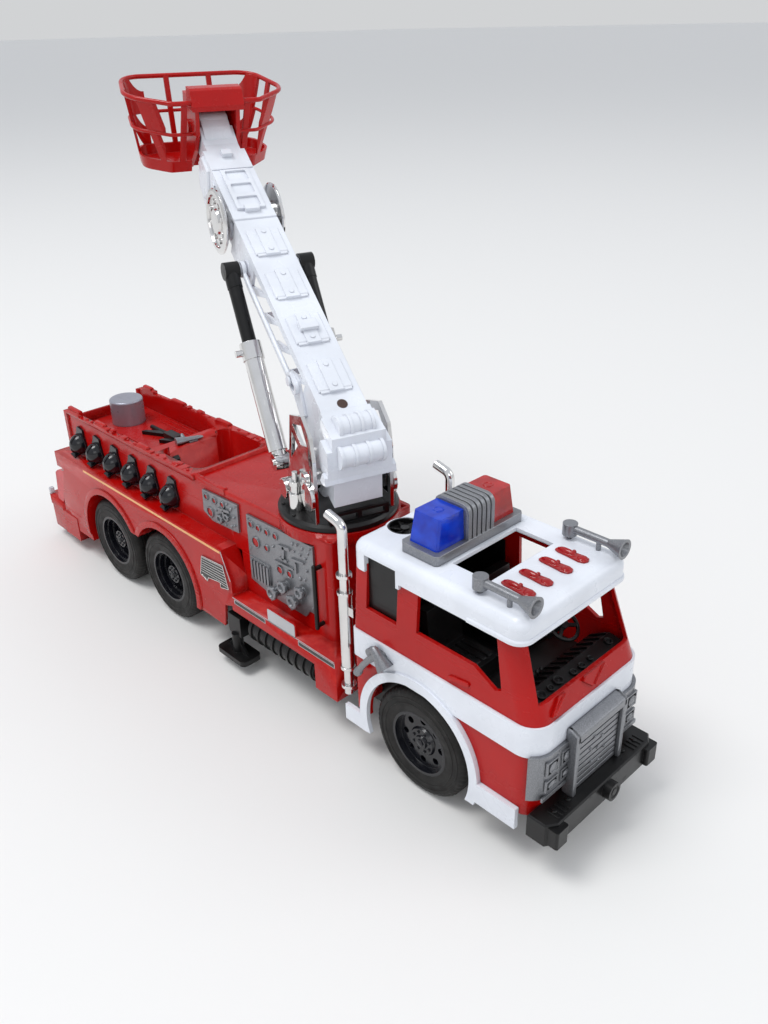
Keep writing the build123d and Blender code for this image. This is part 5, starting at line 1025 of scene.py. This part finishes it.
def panel_plates():
    """Both pump panels with gauges, outlets and their lugs, knobs, bars and a ribbed block."""
    bm = bmesh.new()
    face = -PANEL_FACE
    out = (-1, 0, 0)
    for outline in (SMALL_PANEL, LARGE_PANEL):
        prism(bm, outline, side_point, -36.0, face)
    for y, z, radius in GAUGES:
        turned(bm, [(-0.3, radius + 0.9), (0.9, radius + 0.8), (1.1, radius + 0.4), (0.9, radius),
                    (0.1, radius - 0.1), (-0.2, radius - 0.1)], facing(face, y, z, out), 28)
    for y, z, radius, length in OUTLETS:
        turned(bm, [(-0.3, radius * 0.9), (0.8, radius * 0.9), (0.9, radius * 0.72),
                    (length - 2.4, radius * 0.72), (length - 2.3, radius * 1.06),
                    (length - 0.4, radius * 1.06), (length, radius * 0.92), (length, radius * 0.62),
                    (length - 1.4, radius * 0.5), (length - 1.4, 0.0)], facing(face, y, z, out), 28)
        for i in range(3):
            angle = math.radians(30 + 120 * i)
            lug = (y + radius * 1.12 * math.cos(angle), z + radius * 1.12 * math.sin(angle))
            turned(bm, [(length - 2.2, 0.7), (length - 0.6, 0.7), (length - 0.4, 0.0)],
                   facing(face, *lug, out), 8)
    for y, z, radius in KNOBS:
        turned(bm, [(-0.3, radius), (0.5, radius), (1.1, radius * 0.7), (1.4, 0.0)],
               facing(face, y, z, out), 12)
    for y0, z0, y1, z1, radius in PANEL_BARS:
        prism(bm, slot_outline(y0, z0, y1, z1, radius, 5), side_point, -37.2, face - 1.3)
    y0, y1, z0, z1 = RIB_BLOCK
    prism(bm, [(y0, z0), (y1, z0), (y1, z1), (y0, z1)], side_point, -37.0, face - 0.7)
    for i in range(RIB_BLOCK_RIBS):
        y = y0 + 1.8 + (y1 - y0 - 3.6) * i / (RIB_BLOCK_RIBS - 1)
        prism(bm, slot_outline(y, z0 + 2.4, y, z1 - 2.4, 1.0, 5), side_point, -37.0, face - 1.9)
    mirrored(bm)
    piece("panel_plates", bm, "truck", "silver_plastic",
          stands_for=("pump_panels_right", "pump_panels_left"))
    bm = bmesh.new()
    for y, z, radius in GAUGES:
        turned(bm, [(-0.2, radius), (0.25, radius), (0.45, radius * 0.5), (0.5, 0.0)],
               facing(face, y, z, out), 24)
    mirrored(bm)
    piece("gauge_faces", bm, "truck", "red_plastic")


# Body

BODY_X = 49.3


def side_strip(bm, points, width, out):
    """Flat strip that follows (y, z) points on the body's right-hand side."""
    for start, end in zip(points, points[1:]):
        prism(bm, bar_outline(*start, *end, width / 2), side_point, -BODY_X + 0.1, -BODY_X - out)


SHELF_TOP_Z = 124.0
SHELF_Y = 120.5
WELL_REAR_Y = 112.0
WELD = 0.002
WING_FRONT = [(3.95, 60.0), (3.95, 70.02), (12.96, 91.24), (21.0, 91.24), (21.0, 84.0), (9.0, 60.0)]
WING_FRONT_X = -35.0
WING_FRONT_PROUD = 0.04


def body_form():
    """The body shell with the sloping fronts of its rear wings shut."""
    shell = nodes["rear_body"]
    welded = shell.data.copy()
    bm = bmesh.new()
    bm.from_mesh(welded)
    bmesh.ops.remove_doubles(bm, verts=bm.verts[:], dist=WELD * MM)
    bm.to_mesh(welded)
    bm.free()
    form = placed("rear_body_form", welded)
    form.matrix_world = shell.matrix_world.copy()
    bm = bmesh.new()
    prism(bm, WING_FRONT, side_point, WING_FRONT_X, -BODY_X - WING_FRONT_PROUD)
    mirrored(bm)
    plugs = solid("wing_plugs", bm)
    step = form.modifiers.new("join", "BOOLEAN")
    step.operation = "UNION"
    step.solver = "EXACT"
    step.object = plugs
    graph = bpy.context.evaluated_depsgraph_get()
    mesh = bpy.data.meshes.new_from_object(form.evaluated_get(graph))
    form.modifiers.clear()
    form.data = mesh
    bpy.data.objects.remove(plugs)
    mesh.materials.clear()
    mesh.materials.append(materials["red_plastic"])
    mesh.set_sharp_from_angle(angle=SHARP_ANGLE)
    even = form.modifiers.new("even_normals", "WEIGHTED_NORMAL")
    even.keep_sharp = True
    even.weight = 100
    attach(form, "truck")
    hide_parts("rear_body")


SHELF_NOZZLE = [(-9.5, 0.0), (-9.5, 5.2), (-5.5, 4.8), (0.0, 3.2), (3.0, 2.9), (8.5, 2.6), (11.8, 1.4),
                (12.4, 0.0)]
SHELF_NOZZLE_TURN = -18.0
PEG = [
    # distance behind the well's rear wall, z
    (0.5, 114.0), (0.5, 120.5), (-3.2, 122.4), (-5.4, 119.6), (-4.6, 114.6), (-3.0, 113.2),
]
PEG_X = (-20.5, -15.5)


def well_fittings():
    """Silver nozzle on the divider behind the well, and the black peg in the well's rear wall."""
    bm = bmesh.new()
    turn = Matrix.Rotation(math.radians(SHELF_NOZZLE_TURN), 4, "Z")
    place = Matrix.Translation((1.0, SHELF_Y, SHELF_TOP_Z + 2.1)) @ turn
    lying = place @ Matrix.Rotation(math.radians(90.0), 4, "Y") @ Matrix.Diagonal((0.5, 1.0, 1.0, 1.0))
    turned(bm, SHELF_NOZZLE, lying, 18)
    lever = place @ Matrix.Translation((-3.0, 2.2, 0.0)) @ Matrix.Rotation(math.radians(-50.0), 4, "X")
    turned(bm, [(-0.5, 2.2), (2.6, 1.6), (4.6, 0.9), (5.0, 0.0)], lever, 14)
    foot = [(0.0, SHELF_Y - 4.0), (7.0, SHELF_Y - 5.0), (7.0, SHELF_Y - 2.0), (0.0, SHELF_Y)]
    prism(bm, foot, plan_point, SHELF_TOP_Z - 0.2, SHELF_TOP_Z + 1.4)
    piece("shelf_nozzle", bm, "truck", "silver_plastic", bevel=0.3,
          stands_for=("bed_nozzle",))
    bm = bmesh.new()
    prism(bm, [(WELL_REAR_Y + dy, z) for dy, z in PEG], side_point, *PEG_X)
    turned(bm, [(-1.0, 1.5), (5.2, 1.5), (5.8, 0.0)],
           facing(-18.0, WELL_REAR_Y - 0.5, 116.0, (0, -1, -0.4)), 12)
    piece("well_peg", bm, "truck", "black_plastic", bevel=0.4)


LOUVRE_OUTLINE = [(40.4, 61.7), (36.4, 78.0), (11.2, 80.4), (6.4, 63.1), (15.9, 60.8), (16.2, 64.9),
                  (30.6, 62.6), (32.5, 59.0)]
LOUVRE_COUNT = 8
LAST_LOUVRE_Y = 16.0


def between(a, b, share):
    return tuple(p + (q - p) * share for p, q in zip(a, b))


def louvres():
    """Dark plate with thin bright slats that follow its slope, and a bright rim."""
    bm = bmesh.new()
    prism(bm, LOUVRE_OUTLINE, side_point, -BODY_X + 0.2, -BODY_X - 0.9)
    mirrored(bm)
    piece("louvre_plates", bm, "truck", "dark_sticker", bevel=0.2)
    bm = bmesh.new()
    low_rear, top_rear, top_front, low_front = LOUVRE_OUTLINE[:4]
    for i in range(LOUVRE_COUNT):
        share = (i + 0.5) / LOUVRE_COUNT
        front = between(top_front, low_front, share)
        rear = between(top_rear, low_rear, share)
        if i == LOUVRE_COUNT - 1:
            rear = (LAST_LOUVRE_Y, front[1] + 0.2)
        side_strip(bm, [rear, front], 0.5, 1.2)
    side_strip(bm, LOUVRE_OUTLINE + LOUVRE_OUTLINE[:1], 0.55, 1.3)
    mirrored(bm)
    piece("louvre_slats", bm, "truck", "chrome_plate", stands_for=("side_louvres",))


GOLD_STRIPE = [(205.5, 88.6), (14.0, 89.2)]
WING_LINE = [(13.2, 90.2), (4.9, 70.0)]
BOARD_LINE = [(4.4, 57.3), (-102.0, 57.3)]


def stripes():
    """Gold stripe above the rear wheels, and pale lines along the wing's front and the running board."""
    bm = bmesh.new()
    side_strip(bm, GOLD_STRIPE, 1.9, 0.18)
    mirrored(bm)
    piece("gold_stripes", bm, "truck", "gold_foil")
    bm = bmesh.new()
    side_strip(bm, WING_LINE, 0.8, 0.22)
    side_strip(bm, BOARD_LINE, 0.5, 0.15)
    mirrored(bm)
    piece("edge_lines", bm, "truck", "pale_sticker")


LABEL_Z = 54.7
LABELS = [
    # name, material, width, thickness, ends of the strips in y
    ("label_edges", "pale_sticker", 3.5, 0.14, ((2.6, -32.4), (-66.8, -102.2))),
    ("label_strips", "dark_sticker", 2.5, 0.22, ((1.8, -31.8), (-67.4, -101.6))),
]
STEP_PLATE = [(-35.0, 56.5), (-35.0, 66.6), (-36.0, 67.6), (-63.6, 67.6), (-64.8, 66.4), (-64.8, 56.5)]
STEP_LABEL = [(-35.8, 56.8), (-35.8, 66.2), (-36.6, 67.0), (-63.2, 67.0), (-64.0, 66.2), (-64.0, 56.8)]


def label_strips():
    """Blank strips along the running boards and the upright plate between them."""
    for name, material, width, out, runs in LABELS:
        bm = bmesh.new()
        for y0, y1 in runs:
            side_strip(bm, [(y0, LABEL_Z), (y1, LABEL_Z)], width, out)
        mirrored(bm)
        piece(name, bm, "truck", material)
    bm = bmesh.new()
    prism(bm, STEP_PLATE, side_point, -BODY_X + 1.5, -BODY_X)
    mirrored(bm)
    piece("step_plates", bm, "truck", "red_plastic", bevel=0.25)
    bm = bmesh.new()
    prism(bm, STEP_LABEL, side_point, -BODY_X + 0.1, -BODY_X - 0.15)
    mirrored(bm)
    piece("step_labels", bm, "truck", "pale_sticker")


STEP_LAMP = [(-48.6, 283.4), (-44.4, 283.4), (-44.4, 287.4), (-47.2, 287.4), (-48.6, 286.0)]
STEP_LAMP_Z = (39.6, 45.4)


def step_lamps():
    """Small clear lamps at the corners of the rear step."""
    bm = bmesh.new()
    prism(bm, STEP_LAMP, plan_point, *STEP_LAMP_Z)
    mirrored(bm)
    piece("step_lamps", bm, "truck", "clear_lens", bevel=0.5)


CREST_KNOBS = [
    # side, y, length, height
    (-1, 236.0, 3.0, 3.6), (-1, 229.0, 2.0, 3.0), (-1, 224.6, 1.6, 3.4), (-1, 212.0, 3.0, 0.9),
    (-1, 204.0, 2.2, 1.1), (-1, 190.6, 2.6, 2.8), (-1, 184.6, 1.8, 2.5), (-1, 160.0, 2.6, 0.9),
    (-1, 148.0, 1.8, 1.2), (-1, 138.0, 4.0, 0.8), (-1, 127.4, 2.4, 2.7), (-1, 121.2, 1.6, 2.4),
    (-1, 106.0, 3.0, 0.9), (-1, 96.0, 1.8, 1.1), (-1, 66.0, 2.2, 1.2), (-1, 48.0, 4.0, 0.9),
    (1, 233.0, 3.0, 3.5), (1, 228.0, 1.8, 3.0), (1, 214.0, 3.0, 0.9), (1, 200.0, 2.0, 1.2),
    (1, 187.0, 2.6, 2.7), (1, 180.0, 1.8, 2.4), (1, 164.0, 3.2, 0.9), (1, 140.0, 2.2, 1.2),
    (1, 123.0, 2.6, 2.8), (1, 116.0, 1.8, 2.4), (1, 100.0, 3.0, 0.9), (1, 88.0, 1.8, 1.1),
    (1, 60.0, 2.2, 1.2), (1, 44.0, 3.0, 0.9),
]
CREST_X = 34.7
CREST_FRONT_Z = 130.0
CREST_BEND_Y = 60.0
CREST_DROP, CREST_RUN = 3.0, 190.0


def crest_knobs():
    """Small moulded lumps along the tops of the bed walls, which fall slightly towards the rear."""
    bm = bmesh.new()
    for side, y, length, height in CREST_KNOBS:
        top = CREST_FRONT_Z - max(0.0, y - CREST_BEND_Y) * CREST_DROP / CREST_RUN
        place = Matrix.Translation((side * CREST_X, y, top - 0.4))
        turned(bm, [(0.0, 1.5), (height * 0.6 + 0.4, 1.25), (height * 0.9 + 0.4, 0.8), (height + 0.4, 0.0)],
               place @ Matrix.Diagonal((0.9, length / 2.2, 1.0, 1.0)), 14)
    piece("crest_knobs", bm, "truck", "red_plastic")


BED_RIBS_X = (-27.0, -20.0, -13.0, 24.0, 30.0)
BED_RIBS_Y = (134.0, 199.0)
BED_RIBS_Z = (111.6, 112.6)


def bed_ribs():
    """Low ribs moulded into the floor of the bed."""
    bm = bmesh.new()
    (y0, y1), (z0, z1) = BED_RIBS_Y, BED_RIBS_Z
    for x in BED_RIBS_X:
        block(bm, (x - 0.9, y0, z0), (x + 0.9, y1, z1))
    piece("bed_ribs", bm, "truck", "red_plastic", bevel=0.3)


# Boom and turntable

SCREW_WELL = [(38.2, 3.3), (38.75, 3.3), (38.7, 2.7), (38.7, 0.0)]
SCREW_WELL_Y = 24.4


def boom_screw():
    """Brown rim of the screw hole in the top of the lower boom."""
    bm = bmesh.new()
    turned(bm, SCREW_WELL, Matrix.Translation((0.0, SCREW_WELL_Y, 0.0)), 28)
    piece("boom_screw_well", bm, "lower_boom", "screw_well", place=BOOM)


BRACKET_FACE_X = 26.6
PIVOT_CAP_R = 3.6


def bracket_bolts():
    """Cap and nut on each end of the boom's pivot."""
    bm = bmesh.new()
    x, radius = BRACKET_FACE_X, PIVOT_CAP_R
    y, z = LIFT_PIVOT[1:]
    for sign in (-1, 1):
        turned(bm, [(-0.4, radius), (0.6, radius), (0.9, radius - 0.4), (0.9, 0.0)],
               facing(sign * x, y, z, (sign, 0, 0)), 24)
        nut(bm, sign * (x + 0.8), y, z, 1.9, 1.1, sign)
    piece("bracket_bolts", bm, "turntable", "chrome_plate", place=TURRET)


DISC_BOLTS = 12
DISC_BOLTS_R = 35.4
DISC_BARE_Y = -28.0


def disc_bolts():
    """Bolt heads round the rim of the turntable disc, with none next to the cab."""
    bm = bmesh.new()
    for i in range(DISC_BOLTS):
        angle = math.radians(15 + 30 * i)
        x, y = DISC_BOLTS_R * math.cos(angle), DISC_BOLTS_R * math.sin(angle)
        if y >= DISC_BARE_Y:
            turned(bm, [(-0.3, 1.3), (0.5, 1.3), (0.8, 0.9), (0.8, 0.0)], Matrix.Translation((x, y, 0.0)), 6)
    piece("disc_bolts", bm, "turntable", "black_plastic", place=TURRET)


def build():
    for axle in AXLES:
        for side in ("right", "left"):
            tyre(axle, side)
    hubs()
    wipers()
    door_handles()
    roof_lip()
    dashboard()
    seat_ribs()
    cab_lining()
    light_bar()
    light_lens("right", -1, "blue_lens")
    light_lens("left", 1, "red_lens")
    markers()
    nozzles()
    bumper_fittings()
    grille_frame()
    lamp_relief()
    panel_plates()
    body_form()
    well_fittings()
    louvres()
    stripes()
    label_strips()
    step_lamps()
    crest_knobs()
    bed_ribs()
    boom_screw()
    bracket_bolts()
    disc_bolts()


make_camera()
make_floor()
make_world()
make_lamps()
build()
bpy.context.scene.view_settings.view_transform = "Standard"
